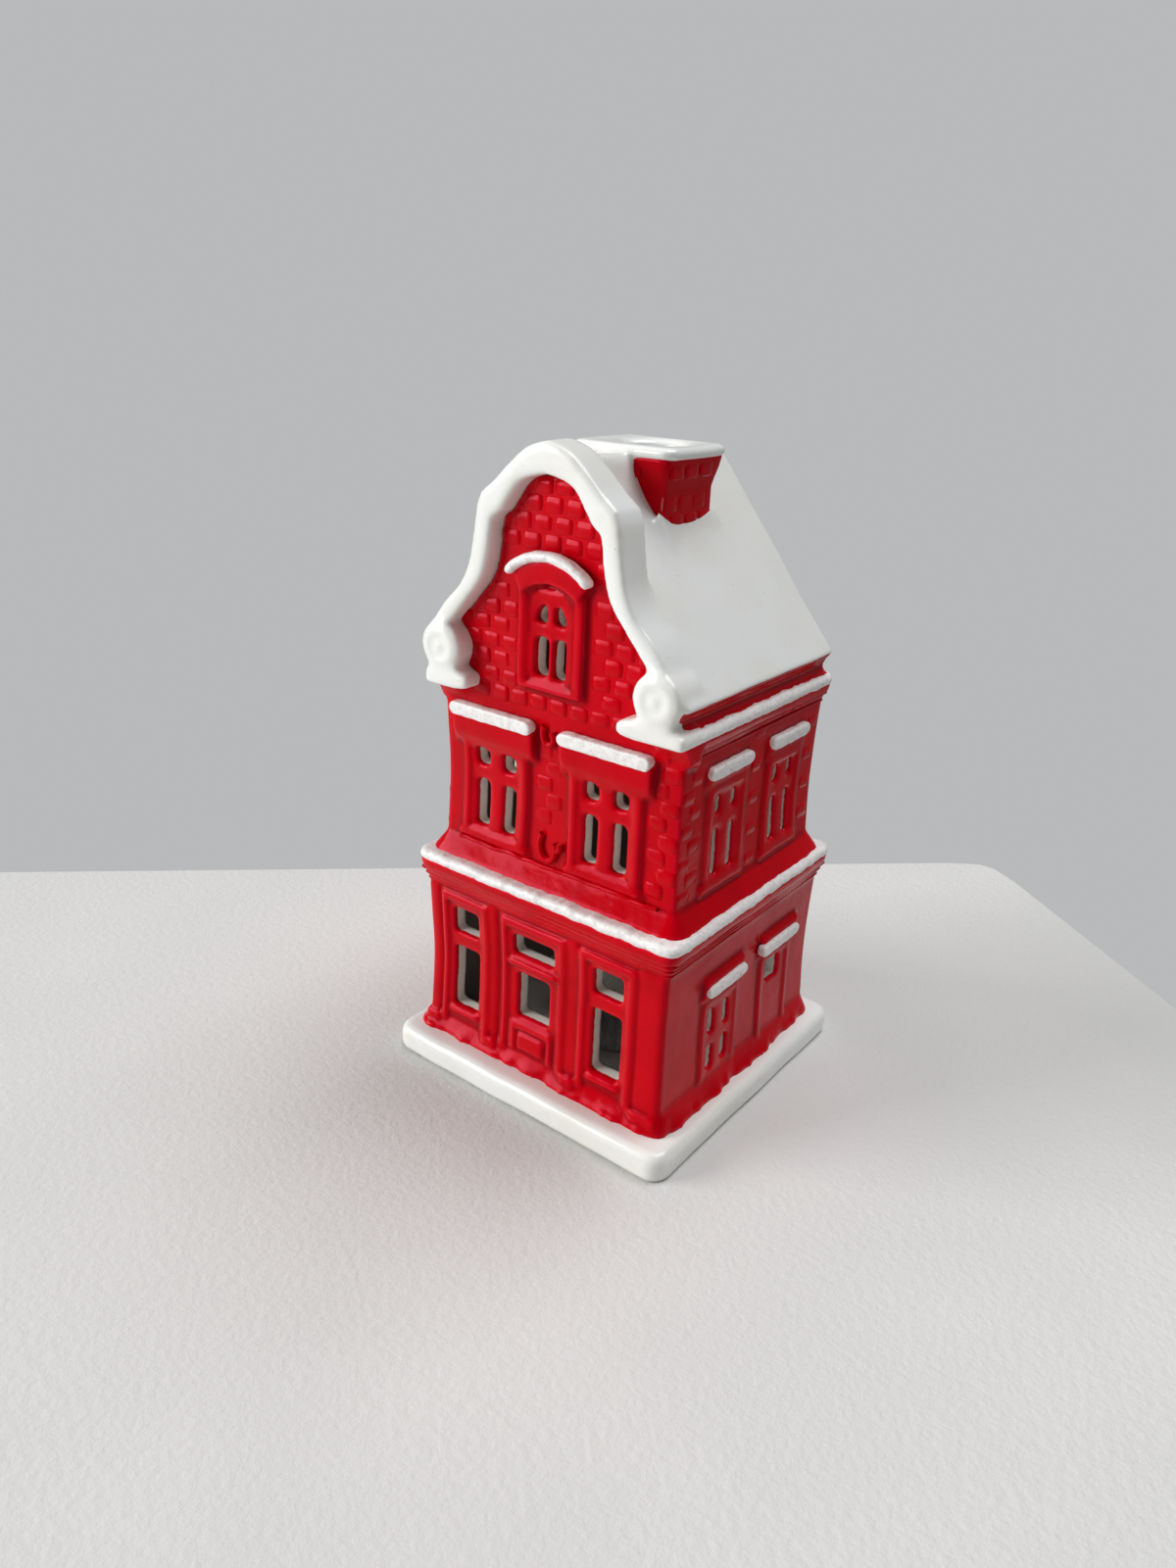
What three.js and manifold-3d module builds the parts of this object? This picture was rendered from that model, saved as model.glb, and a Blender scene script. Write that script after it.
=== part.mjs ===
// A glazed ceramic tealight house: a narrow two-storey town house with a scrolled gable, snow on its
// ledges and roof, pierced windows, an open chimney and a doorway at the back for the candle.
// Millimetres, +Z up. The origin is the middle of the slab's underside; the street front faces -Y.
import * as THREE from 'three';
import { mergeVertices } from 'three/addons/utils/BufferGeometryUtils.js';
import Module from 'manifold-3d';

const wasm = await Module();
wasm.setup();

// ---------------------------------------------------------------- driving dimensions
const WALL = 4; // thickness of the cast ceramic
const GAP = 0.3; // space left where one piece is cut to fit another
const SLAB = { half: 42.5, height: 7, corner: 4.7, edge: 1.5 };
const GROUND = { halfX: 36.5, halfY: 34.5, top: 49, footOut: 3.5, footTop: 10.5 };
const LEDGE = { out: 2.5, snowBottom: 54.7, snowTop: 57.8 };
const UPPER = { halfX: 34.1, halfY: 30.6, bottom: 61, top: 97.3 };
const CORNICE = { out: 1.9, snowBottom: 100.8, snowTop: 104.1 };
const ROOF = { eavesX: 36, coveTop: 108.5, eavesZ: 108.9, ridgeZ: 153.9, rise: 6 };
const FRONT_AXIS = -1.8; // the middle line of the doorway, windows and gable
const DOORWAY = { half: 21.5, sill: SLAB.height, spring: 26, crown: 37 };
const COPING = { front: -34.6, back: -26.6 };
const SCROLL = { reach: 29.9, z: 110.2, radius: 5.4, front: -35.6, eye: 2.2, eyeOut: 0.8 };
const PAD = { inner: 21, outer: 36.4, front: -36, top: 104.5 };
const STACK = { halfX: 11.6, halfY: 10.5, y: -0.5, bottom: 137, neck: 147.5, head: 150, top: 154, out: 1 };
const FLUE = { halfX: 7.5, halfY: 6.5 };
const CAP = { halfX: 14, halfY: 12, top: 156.4, edge: 0.8 };
const RELIEF = 1.2; // how far window surrounds stand out from the wall
const HOOD = { out: 3, sideOut: 2.4 };
const CANDLE = { radius: 19, height: 15.5, sheet: 0.8, wax: 12.5, y: 0, wick: 0.8, wickRise: 7, foot: 6 };

const RED = 0xb4000f;
const WHITE = 0xeceeec;
const looks = {
  red: { color: RED, roughness: 0.22, metalness: 0 },
  white: { color: WHITE, roughness: 0.3, metalness: 0 },
  tin: { color: 0xc9cbcd, roughness: 0.35, metalness: 1 },
  wax: { color: 0xf4f1e6, roughness: 0.55, metalness: 0 },
  cotton: { color: 0xe9e3d2, roughness: 0.9, metalness: 0 },
};

const house = new THREE.Group();

// ---------------------------------------------------------------- solids
// One closed body from a three.js geometry, with its shared corners merged and its faces turned out.
function closed(geometry) {
  const bare = geometry.index ? geometry : mergeVertices(geometry);
  for (const name of Object.keys(bare.attributes)) {
    if (name !== 'position') bare.deleteAttribute(name);
  }
  const merged = mergeVertices(bare, 1e-4);
  const p = merged.attributes.position;
  const index = Array.from(merged.index.array);
  const triangles = [];
  let volume = 0;
  const [a, b, c] = [new THREE.Vector3(), new THREE.Vector3(), new THREE.Vector3()];
  for (let i = 0; i < index.length; i += 3) {
    const [u, v, w] = index.slice(i, i + 3);
    if (u === v || v === w || w === u) continue;
    triangles.push(u, v, w);
    a.fromBufferAttribute(p, u);
    b.fromBufferAttribute(p, v);
    c.fromBufferAttribute(p, w);
    volume += a.dot(b.cross(c));
  }
  if (volume < 0) triangles.reverse();
  merged.setIndex(triangles);
  return merged;
}

function toManifold(geometry) {
  const g = closed(geometry);
  const vertProperties = new Float32Array(g.attributes.position.array);
  const triVerts = new Uint32Array(g.index.array);
  return new wasm.Manifold(new wasm.Mesh({ numProp: 3, vertProperties, triVerts }));
}

function toGeometry(manifold) {
  const mesh = manifold.getMesh();
  const g = new THREE.BufferGeometry();
  g.setAttribute('position', new THREE.BufferAttribute(new Float32Array(mesh.vertProperties), 3));
  g.setIndex(Array.from(mesh.triVerts));
  return g;
}

// A geometry with others cut away from it.
function cut(geometry, ...tools) {
  return toGeometry(tools.reduce((left, tool) => left.subtract(toManifold(tool)), toManifold(geometry)));
}

function join(geometry, ...others) {
  return toGeometry(others.reduce((whole, other) => whole.add(toManifold(other)), toManifold(geometry)));
}

function add(name, geometry, look) {
  const mesh = new THREE.Mesh(closed(geometry), new THREE.MeshStandardMaterial(looks[look]));
  mesh.name = name;
  house.add(mesh);
}

function box(x0, x1, y0, y1, z0, z1) {
  const g = new THREE.BoxGeometry(x1 - x0, y1 - y0, z1 - z0);
  return g.translate((x0 + x1) / 2, (y0 + y1) / 2, (z0 + z1) / 2);
}

// An outline drawn in X and Z, as thick as y0 to y1.
function acrossY(shape, y0, y1, segments = 8) {
  const options = { depth: y1 - y0, bevelEnabled: false, curveSegments: segments };
  return new THREE.ExtrudeGeometry(shape, options).rotateX(Math.PI / 2).translate(0, y1, 0);
}

// An outline drawn in Y and Z, as thick as x0 to x1.
function acrossX(shape, x0, x1, segments = 8) {
  const options = { depth: x1 - x0, bevelEnabled: false, curveSegments: segments };
  const standing = new THREE.ExtrudeGeometry(shape, options).rotateX(Math.PI / 2);
  return standing.rotateZ(Math.PI / 2).translate(x0, 0, 0);
}

function polygon(points) {
  return new THREE.Shape(points.map(([u, v]) => new THREE.Vector2(u, v)));
}

// A bar with round ends.
function bar(middle, half, v0, v1) {
  const r = (v1 - v0) / 2;
  const shape = new THREE.Shape();
  shape.absarc(middle + half - r, v0 + r, r, -Math.PI / 2, Math.PI / 2, false);
  shape.absarc(middle - half + r, v0 + r, r, Math.PI / 2, 1.5 * Math.PI, false);
  return shape;
}

function roundedRectangle(halfU, halfV, r, centreV = 0) {
  const shape = new THREE.Shape();
  shape.absarc(halfU - r, centreV + halfV - r, r, 0, Math.PI / 2, false);
  shape.absarc(-halfU + r, centreV + halfV - r, r, Math.PI / 2, Math.PI, false);
  shape.absarc(-halfU + r, centreV - halfV + r, r, Math.PI, 1.5 * Math.PI, false);
  shape.absarc(halfU - r, centreV - halfV + r, r, -Math.PI / 2, 0, false);
  return shape;
}

// A mitred moulding round a rectangular house. The closed profile holds pairs of how far a corner
// stands out from the wall face, and its height. A square ring is turned, then pulled to the rectangle.
function moulding(profile, halfX, halfY) {
  const corner = ([out, z]) => new THREE.Vector2((halfX + out) * Math.SQRT2, z);
  const points = [...profile, profile[0]].map(corner);
  const ring = new THREE.LatheGeometry(points, 4, Math.PI / 4).rotateX(Math.PI / 2);
  const p = ring.attributes.position;
  for (let i = 0; i < p.count; i += 1) p.setY(i, p.getY(i) + Math.sign(p.getY(i)) * (halfY - halfX));
  return ring;
}

function cylinderY(x, z, radius, y0, y1, sides = 28) {
  return new THREE.CylinderGeometry(radius, radius, y1 - y0, sides).translate(x, (y0 + y1) / 2, z);
}

// ---------------------------------------------------------------- windows
// A surround stands for its bay: middle, half width, foot and head, and its lights as pairs of
// offset and width, with their lower and upper edges.
const BAY = 22.3;
const UPPER_BAY = 16.3;
const groundLights = [[0, 8, 37, 43.6], [0, 8, 15.7, 32.8]];
const upperLights = [-4.1, 4.1].flatMap((at) => [[at, 3.6, 82.3, 86.3], [at, 3.6, 66.8, 78.4]]);
const sideLights = [-3.3, 3.3].flatMap((at) => [[at, 2, 81.2, 85.2], [at, 2, 66.2, 77.2]]);
const frontBays = {
  ground_window_left: { at: FRONT_AXIS - BAY, half: 7.7, foot: 11, head: 47.4, lights: groundLights },
  ground_window_right: { at: FRONT_AXIS + BAY, half: 7.7, foot: 11, head: 47.4, lights: groundLights },
};
const door = { at: FRONT_AXIS, half: 9.9, foot: 11, head: 47.4, leafHalf: 7.2, leafTop: 36, leafOut: 0.6 };
const doorPanel = { half: 5.2, low: 12.5, high: 18.5 };
const transomLight = { at: door.at, lights: [[0, 12.4, 38.3, 43.4]] };
const leafLight = { at: door.at, lights: [[0, 9.8, 21.1, 33]] };
const upperBays = {
  upper_window_left: { at: FRONT_AXIS - UPPER_BAY, half: 10, foot: 63.6, head: 88.5, lights: upperLights },
  upper_window_right: { at: FRONT_AXIS + UPPER_BAY, half: 10, foot: 63.6, head: 88.5, lights: upperLights },
};
const sideGround = {
  window: {
    at: -10.4, half: 8, foot: 12.5, head: 34, hood: [-10.6, 9, 35.5, 40.2],
    lights: [-3.2, 3.2].flatMap((at) => [[at, 2.2, 24, 30.5], [at, 2.2, 14, 20.3]]),
  },
  side_door: {
    at: 16.3, half: 7.3, foot: 11, head: 34, hood: [15.2, 9.7, 35.5, 40.2],
    lights: [[-0.6, 6, 26, 32]],
  },
};
const sideUpper = {
  front_window: {
    at: -12, half: 8, foot: 64.5, head: 88, hood: [-12.6, 9.3, 89.9, 94.1], lights: sideLights,
  },
  rear_window: { at: 14, half: 8, foot: 64.5, head: 88, hood: [14, 9.2, 89.9, 94.1], lights: sideLights },
};

// The holes of a bay's lights, as boxes that run right through a front wall or through both side walls.
function lightHoles({ at, lights }, hole) {
  return lights.map(([offset, width, low, high]) => {
    const middle = at + offset;
    return hole(middle - width / 2, middle + width / 2, low, high);
  });
}

const frontHoles = (bay) => lightHoles(bay, (u0, u1, v0, v1) => box(u0, u1, -50, -20, v0, v1));
const sideHoles = (bay) => lightHoles(bay, (u0, u1, v0, v1) => box(-50, 50, u0, u1, v0, v1));

// ---------------------------------------------------------------- slab and ground storey
const slabOutline = roundedRectangle(SLAB.half - SLAB.edge, SLAB.half - SLAB.edge, SLAB.corner - SLAB.edge);
const slabOptions = {
  depth: SLAB.height - 2 * SLAB.edge,
  bevelSize: SLAB.edge,
  bevelThickness: SLAB.edge,
  bevelSegments: 2,
  curveSegments: 4,
};
add('base_slab', new THREE.ExtrudeGeometry(slabOutline, slabOptions).translate(0, 0, SLAB.edge), 'white');

// A ground wall's section: its face flares out to a foot where it meets the slab.
function footedSection(face, side) {
  return polygon([
    [side * (face - WALL), SLAB.height],
    [side * (face + GROUND.footOut), SLAB.height],
    [side * face, GROUND.footTop],
    [side * face, GROUND.top],
    [side * (face - WALL), GROUND.top],
  ]);
}

const groundFrontHoles = [...Object.values(frontBays), transomLight, leafLight].flatMap(frontHoles);
const groundFront = acrossX(footedSection(GROUND.halfY, -1), -GROUND.halfX, GROUND.halfX);
add('ground_wall_front', cut(groundFront, ...groundFrontHoles), 'red');

const doorwayShape = new THREE.Shape();
doorwayShape.moveTo(-DOORWAY.half, DOORWAY.sill - 1);
doorwayShape.lineTo(DOORWAY.half, DOORWAY.sill - 1);
doorwayShape.lineTo(DOORWAY.half, DOORWAY.spring);
doorwayShape.absellipse(0, DOORWAY.spring, DOORWAY.half, DOORWAY.crown - DOORWAY.spring, 0, Math.PI, false);
const groundRear = acrossX(footedSection(GROUND.halfY, 1), -GROUND.halfX, GROUND.halfX);
add('ground_wall_rear', cut(groundRear, acrossY(doorwayShape, 20, 50, 16)), 'red');

const groundInnerY = GROUND.halfY - WALL;
for (const [side, label] of [[1, 'right'], [-1, 'left']]) {
  const wall = acrossY(footedSection(GROUND.halfX, side), -groundInnerY, groundInnerY);
  add(`ground_wall_${label}`, cut(wall, ...Object.values(sideGround).flatMap(sideHoles)), 'red');
}

// ---------------------------------------------------------------- string course between the storeys
const setBack = UPPER.halfX - GROUND.halfX;
const upperInner = setBack - WALL;
add('string_course', moulding([
  [-WALL, GROUND.top],
  [0, GROUND.top],
  [0.7, 50.6],
  [1.9, 52.8],
  [LEDGE.out, LEDGE.snowBottom],
  [-WALL, LEDGE.snowBottom],
], GROUND.halfX, GROUND.halfY), 'red');
add('string_course_snow', moulding([
  [upperInner, LEDGE.snowBottom],
  [LEDGE.out, LEDGE.snowBottom],
  [LEDGE.out, LEDGE.snowTop - 0.6],
  [LEDGE.out - 0.6, LEDGE.snowTop],
  [upperInner, LEDGE.snowTop],
], GROUND.halfX, GROUND.halfY), 'white');
add('upper_plinth', moulding([
  [-WALL, LEDGE.snowTop],
  [LEDGE.out - 1 - setBack, LEDGE.snowTop],
  [0.8, UPPER.bottom - 1],
  [0, UPPER.bottom],
  [-WALL, UPPER.bottom],
], UPPER.halfX, UPPER.halfY), 'red');

// ---------------------------------------------------------------- upper storey
const upperInnerX = UPPER.halfX - WALL;
const upperInnerY = UPPER.halfY - WALL;
const upperFront = box(-UPPER.halfX, UPPER.halfX, -UPPER.halfY, -upperInnerY, UPPER.bottom, UPPER.top);
add('upper_wall_front', cut(upperFront, ...Object.values(upperBays).flatMap(frontHoles)), 'red');
const upperRear = box(-UPPER.halfX, UPPER.halfX, upperInnerY, UPPER.halfY, UPPER.bottom, UPPER.top);
add('upper_wall_rear', upperRear, 'red');
for (const [side, label] of [[1, 'right'], [-1, 'left']]) {
  const [x0, x1] = [side * upperInnerX, side * UPPER.halfX].sort((m, n) => m - n);
  const wall = box(x0, x1, -upperInnerY, upperInnerY, UPPER.bottom, UPPER.top);
  add(`upper_wall_${label}`, cut(wall, ...Object.values(sideUpper).flatMap(sideHoles)), 'red');
}

// ---------------------------------------------------------------- cornice and eaves
// The brick gable runs down between the scroll pads, so the cornice stands out only beside it.
const betweenPads = box(
  FRONT_AXIS - PAD.inner, FRONT_AXIS + PAD.inner, -50, -UPPER.halfY, UPPER.top - 1, CORNICE.snowTop + 1,
);
const cornice = moulding([
  [-WALL, UPPER.top],
  [0, UPPER.top],
  [0.4, 98.3],
  [1.4, 99.8],
  [CORNICE.out, CORNICE.snowBottom],
  [-WALL, CORNICE.snowBottom],
], UPPER.halfX, UPPER.halfY);
add('cornice_moulding', cut(cornice, betweenPads), 'red');

const corniceSnow = moulding([
  [-WALL, CORNICE.snowBottom],
  [CORNICE.out, CORNICE.snowBottom],
  [CORNICE.out, CORNICE.snowTop - 0.6],
  [CORNICE.out - 0.6, CORNICE.snowTop],
  [-WALL, CORNICE.snowTop],
], UPPER.halfX, UPPER.halfY);
const gableSeat = box(-UPPER.halfX, UPPER.halfX, -UPPER.halfY, -upperInnerY, CORNICE.snowBottom - 1, 110);
const inFront = box(-50, 50, -50, -UPPER.halfY, CORNICE.snowBottom - 1, 110);
add('cornice_snow', cut(corniceSnow, gableSeat, inFront), 'white');

for (const [side, label] of [[1, 'right'], [-1, 'left']]) {
  const eaves = new THREE.Shape();
  eaves.moveTo(side * upperInnerX, CORNICE.snowTop);
  eaves.lineTo(side * (UPPER.halfX - 0.6), CORNICE.snowTop);
  eaves.quadraticCurveTo(side * (UPPER.halfX - 0.6), 107.6, side * ROOF.eavesX, ROOF.coveTop);
  eaves.lineTo(side * ROOF.eavesX, ROOF.eavesZ);
  eaves.lineTo(side * upperInnerX, ROOF.eavesZ);
  add(`eaves_cove_${label}`, acrossY(eaves, COPING.back, UPPER.halfY, 5), 'red');
}

// ---------------------------------------------------------------- gables
// Half outlines of the coping, as distance from the gable's middle line and height. Each is a lower
// sweep, a shoulder, and an upper sweep to the crown.
const copingOuter = [
  [[34.9, 112], [29.3, 120.4], [24.5, 125.3], [21.6, 130.3], [20.2, 136.2], [19.1, 143.4]],
  [[18, 146.1], [14, 149.2], [10.1, 152.9], [5.3, 156.6], [0, 158.2]],
];
const copingInner = [
  [[30.5, 112.3], [27.5, 115.7], [22.6, 121.6], [17.6, 127.5], [15.6, 133.4], [14.6, 141]],
  [[12, 142.7], [10.2, 145.4], [6.6, 149.6], [0, 151.5]],
];

// The whole outline, foot to foot over the crown, moved in by an inset.
function overCrown(half, steps, inset = 0) {
  const right = half.flatMap((points) => {
    const curve = new THREE.SplineCurve(points.map(([x, z]) => new THREE.Vector2(x, z)));
    return curve.getPoints(steps).map((p) => [p.x - inset, p.y]);
  });
  const [, crownZ] = right.pop();
  const left = right.map(([x, z]) => [-x, z]).reverse();
  return [...right, [0, crownZ - inset], ...left].map(([x, z]) => [x + FRONT_AXIS, z]);
}

const scrollClear = [-1, 1].map((side) => cylinderY(
  FRONT_AXIS + side * SCROLL.reach, SCROLL.z, SCROLL.radius + GAP, -50, 0,
));
const copingShape = polygon([...overCrown(copingOuter, 9), ...overCrown(copingInner, 8).reverse()]);
add('gable_coping', cut(acrossY(copingShape, COPING.front, COPING.back), ...scrollClear), 'white');

const brickFoot = { half: 27, z: PAD.top - 0.1 };
const brickShape = polygon([
  [-UPPER.halfX, CORNICE.snowBottom],
  [UPPER.halfX, CORNICE.snowBottom],
  [UPPER.halfX, brickFoot.z],
  [FRONT_AXIS + brickFoot.half, brickFoot.z],
  ...overCrown(copingInner, 8, GAP),
  [FRONT_AXIS - brickFoot.half, brickFoot.z],
  [-UPPER.halfX, brickFoot.z],
]);
const attic = { at: FRONT_AXIS, half: 9, foot: 104.6, head: 127, hoodCrown: 136 };
attic.lights = [-2.5, 2.5].flatMap((at) => [[at, 3.4, 108, 116.5], [at, 3, 120, 124]]);
const brickPanel = acrossY(brickShape, -UPPER.halfY, COPING.back);
add('gable_brick_front', cut(brickPanel, ...frontHoles(attic), ...scrollClear), 'red');

const slope = (ROOF.ridgeZ - ROOF.eavesZ) / ROOF.eavesX;
const insideX = ROOF.eavesX - ROOF.rise / slope;
const rearGable = polygon([
  [-upperInnerX, CORNICE.snowTop],
  [upperInnerX, CORNICE.snowTop],
  [upperInnerX, ROOF.eavesZ],
  [0, ROOF.eavesZ + upperInnerX * slope],
  [-upperInnerX, ROOF.eavesZ],
]);
add('gable_brick_rear', acrossY(rearGable, upperInnerY, UPPER.halfY), 'red');

for (const [side, label] of [[1, 'right'], [-1, 'left']]) {
  const x = FRONT_AXIS + side * SCROLL.reach;
  const eye = cylinderY(x, SCROLL.z, SCROLL.eye, SCROLL.front - SCROLL.eyeOut, SCROLL.front + 1, 16);
  const drum = cylinderY(x, SCROLL.z, SCROLL.radius, SCROLL.front, COPING.back);
  add(`scroll_${label}`, join(drum, eye), 'white');
  const [u0, u1] = [FRONT_AXIS + side * PAD.inner, side * PAD.outer].sort((m, n) => m - n);
  add(`scroll_pad_${label}`, box(u0, u1, PAD.front, -UPPER.halfY, CORNICE.snowBottom, PAD.top), 'white');
}

// ---------------------------------------------------------------- roof and chimney
// The chimney passes down through the ridge, in a well that clears its shaft and its wider head.
function chimneyWell(margin, z0, z1) {
  const [halfX, halfY] = [STACK.halfX + margin, STACK.halfY + margin];
  return box(-halfX, halfX, STACK.y - halfY, STACK.y + halfY, z0, z1);
}
const wells = [
  chimneyWell(GAP, STACK.bottom - GAP, STACK.top + 1),
  chimneyWell(STACK.out + GAP, STACK.neck, STACK.top + 1),
];
for (const [side, label] of [[1, 'right'], [-1, 'left']]) {
  const section = polygon([
    [side * ROOF.eavesX, ROOF.eavesZ],
    [0, ROOF.ridgeZ],
    [0, ROOF.ridgeZ - ROOF.rise],
    [side * insideX, ROOF.eavesZ],
  ]);
  add(`roof_slope_${label}`, cut(acrossY(section, COPING.back, UPPER.halfY), ...wells), 'white');
}

const fluePull = FLUE.halfX - STACK.halfX;
const stack = moulding([
  [fluePull, STACK.bottom],
  [0, STACK.bottom],
  [0, STACK.neck],
  [STACK.out, STACK.head],
  [STACK.out, STACK.top],
  [fluePull, STACK.top],
], STACK.halfX, STACK.halfY);
add('chimney_stack', stack.translate(0, STACK.y, 0), 'red');

const capShape = roundedRectangle(CAP.halfX - CAP.edge, CAP.halfY - CAP.edge, 1.2, STACK.y);
capShape.holes.push(roundedRectangle(FLUE.halfX + CAP.edge, FLUE.halfY + CAP.edge, 3.4, STACK.y));
const capOptions = {
  depth: CAP.top - STACK.top - 2 * CAP.edge,
  bevelSize: CAP.edge,
  bevelThickness: CAP.edge,
  bevelSegments: 1,
  curveSegments: 4,
};
const cap = new THREE.ExtrudeGeometry(capShape, capOptions);
add('chimney_cap', cap.translate(0, 0, STACK.top + CAP.edge), 'white');

// ---------------------------------------------------------------- window surrounds, door and hoods
const groundFace = -GROUND.halfY;
for (const [name, bay] of Object.entries(frontBays)) {
  const [left, right] = [bay.at - bay.half, bay.at + bay.half];
  const plate = box(left, right, groundFace - RELIEF, groundFace, bay.foot, bay.head);
  add(`${name}_surround`, cut(plate, ...frontHoles(bay)), 'red');
}

const doorFrame = box(
  door.at - door.half, door.at + door.half, groundFace - RELIEF, groundFace, door.foot, door.head,
);
const leafOpening = box(
  door.at - door.leafHalf, door.at + door.leafHalf, groundFace - 2, groundFace + 1,
  door.foot - 1, door.leafTop,
);
add('door_surround', cut(doorFrame, leafOpening, ...frontHoles(transomLight)), 'red');

const leafHalf = door.leafHalf - GAP;
const leaf = box(
  door.at - leafHalf, door.at + leafHalf, groundFace - door.leafOut, groundFace,
  door.foot, door.leafTop - GAP,
);
const leafPanel = box(
  door.at - doorPanel.half, door.at + doorPanel.half, groundFace - RELIEF, groundFace - 0.1,
  doorPanel.low, doorPanel.high,
);
add('door_leaf', join(cut(leaf, ...frontHoles(leafLight)), leafPanel), 'red');

const upperFace = -UPPER.halfY;
const lintel = { half: 12.4, top: 93.2, hoodHalf: 13.1, hoodTop: 97.2 };
for (const [name, bay] of Object.entries(upperBays)) {
  const shape = polygon([
    [bay.at - bay.half, bay.foot],
    [bay.at + bay.half, bay.foot],
    [bay.at + bay.half, bay.head],
    [bay.at + lintel.half, bay.head + 1.4],
    [bay.at + lintel.half, lintel.top],
    [bay.at - lintel.half, lintel.top],
    [bay.at - lintel.half, bay.head + 1.4],
    [bay.at - bay.half, bay.head],
  ]);
  const plate = acrossY(shape, upperFace - RELIEF, upperFace);
  add(`${name}_surround`, cut(plate, ...frontHoles(bay)), 'red');
  const hood = bar(bay.at, lintel.hoodHalf, lintel.top, lintel.hoodTop);
  add(`${name}_hood`, acrossY(hood, upperFace - HOOD.out, upperFace, 6), 'white');
}

const atticPlate = box(
  attic.at - attic.half, attic.at + attic.half, upperFace - RELIEF, upperFace, attic.foot, attic.head,
);
add('attic_window_surround', cut(atticPlate, ...frontHoles(attic)), 'red');

// The attic hood is part of a ring: its underside and top share one centre.
const hoodArc = { radius: 15.4, thick: 2.4, spread: 0.72 };
const arcMiddle = attic.hoodCrown - hoodArc.radius - hoodArc.thick;
const [fromAngle, toAngle] = [Math.PI / 2 - hoodArc.spread, Math.PI / 2 + hoodArc.spread];
const atticHood = new THREE.Shape();
atticHood.absarc(attic.at, arcMiddle, hoodArc.radius + hoodArc.thick, fromAngle, toAngle, false);
atticHood.absarc(attic.at, arcMiddle, hoodArc.radius, toAngle, fromAngle, true);
add('attic_window_hood', acrossY(atticHood, upperFace - HOOD.out, upperFace, 9), 'white');

function sideFittings(storey, bays, face) {
  for (const [side, label] of [[1, 'right'], [-1, 'left']]) {
    for (const [name, bay] of Object.entries(bays)) {
      const [x0, x1] = [side * face, side * (face + RELIEF)].sort((m, n) => m - n);
      const plate = box(x0, x1, bay.at - bay.half, bay.at + bay.half, bay.foot, bay.head);
      add(`${storey}_${label}_${name}_surround`, cut(plate, ...sideHoles(bay)), 'red');
      const [middle, half, low, high] = bay.hood;
      const [h0, h1] = [side * face, side * (face + HOOD.sideOut)].sort((m, n) => m - n);
      add(`${storey}_${label}_${name}_hood`, acrossX(bar(middle, half, low, high), h0, h1, 5), 'white');
    }
  }
}
sideFittings('ground', sideGround, GROUND.halfX);
sideFittings('upper', sideUpper, UPPER.halfX);

// ---------------------------------------------------------------- candle
// Each candle piece is turned about its own upright axis from a closed outline of radius and height.
function turned(outline, sides) {
  const points = [...outline, outline[0]].map(([r, z]) => new THREE.Vector2(r, z));
  return new THREE.LatheGeometry(points, sides).rotateX(Math.PI / 2).translate(0, CANDLE.y, SLAB.height);
}

const cupInside = CANDLE.radius - CANDLE.sheet;
add('candle_cup', turned([
  [0, 0],
  [CANDLE.radius, 0],
  [CANDLE.radius, CANDLE.height],
  [cupInside, CANDLE.height],
  [cupInside, CANDLE.sheet],
  [0, CANDLE.sheet],
], 28), 'tin');

const footTop = CANDLE.sheet + 0.6;
const bore = CANDLE.wick + GAP;
add('candle_wax', turned([
  [bore, footTop + GAP],
  [CANDLE.foot + GAP, footTop + GAP],
  [CANDLE.foot + GAP, CANDLE.sheet],
  [cupInside - GAP, CANDLE.sheet],
  [cupInside - GAP, CANDLE.wax],
  [bore, CANDLE.wax],
], 28), 'wax');

// A disc or rod: a plain rectangle turned about the candle's axis.
const disc = (radius, low, high) => [[0, low], [radius, low], [radius, high], [0, high]];
add('wick_foot', turned(disc(CANDLE.foot, CANDLE.sheet, footTop), 16), 'tin');
add('candle_wick', turned(disc(CANDLE.wick, footTop, CANDLE.wax + CANDLE.wickRise), 8), 'cotton');

export default house;
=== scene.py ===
"""A glazed ceramic tealight house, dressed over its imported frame.

The house is one slip-cast body. Its walls, mouldings and snow are laid up here as overlapping closed
shells, cast together into soft-edged skins, and then glazed. Lengths inside the classes are
millimetres in the frame's own axes (the street front faces -Y, +Z is up); a finished mesh is in metres.
"""
from __future__ import annotations

import logging
import math
from dataclasses import dataclass, field
from enum import Enum
from functools import partial
from typing import Callable, Iterable, Sequence

import bmesh
import bpy
import numpy as np
from mathutils import Matrix, Vector, noise


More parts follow.
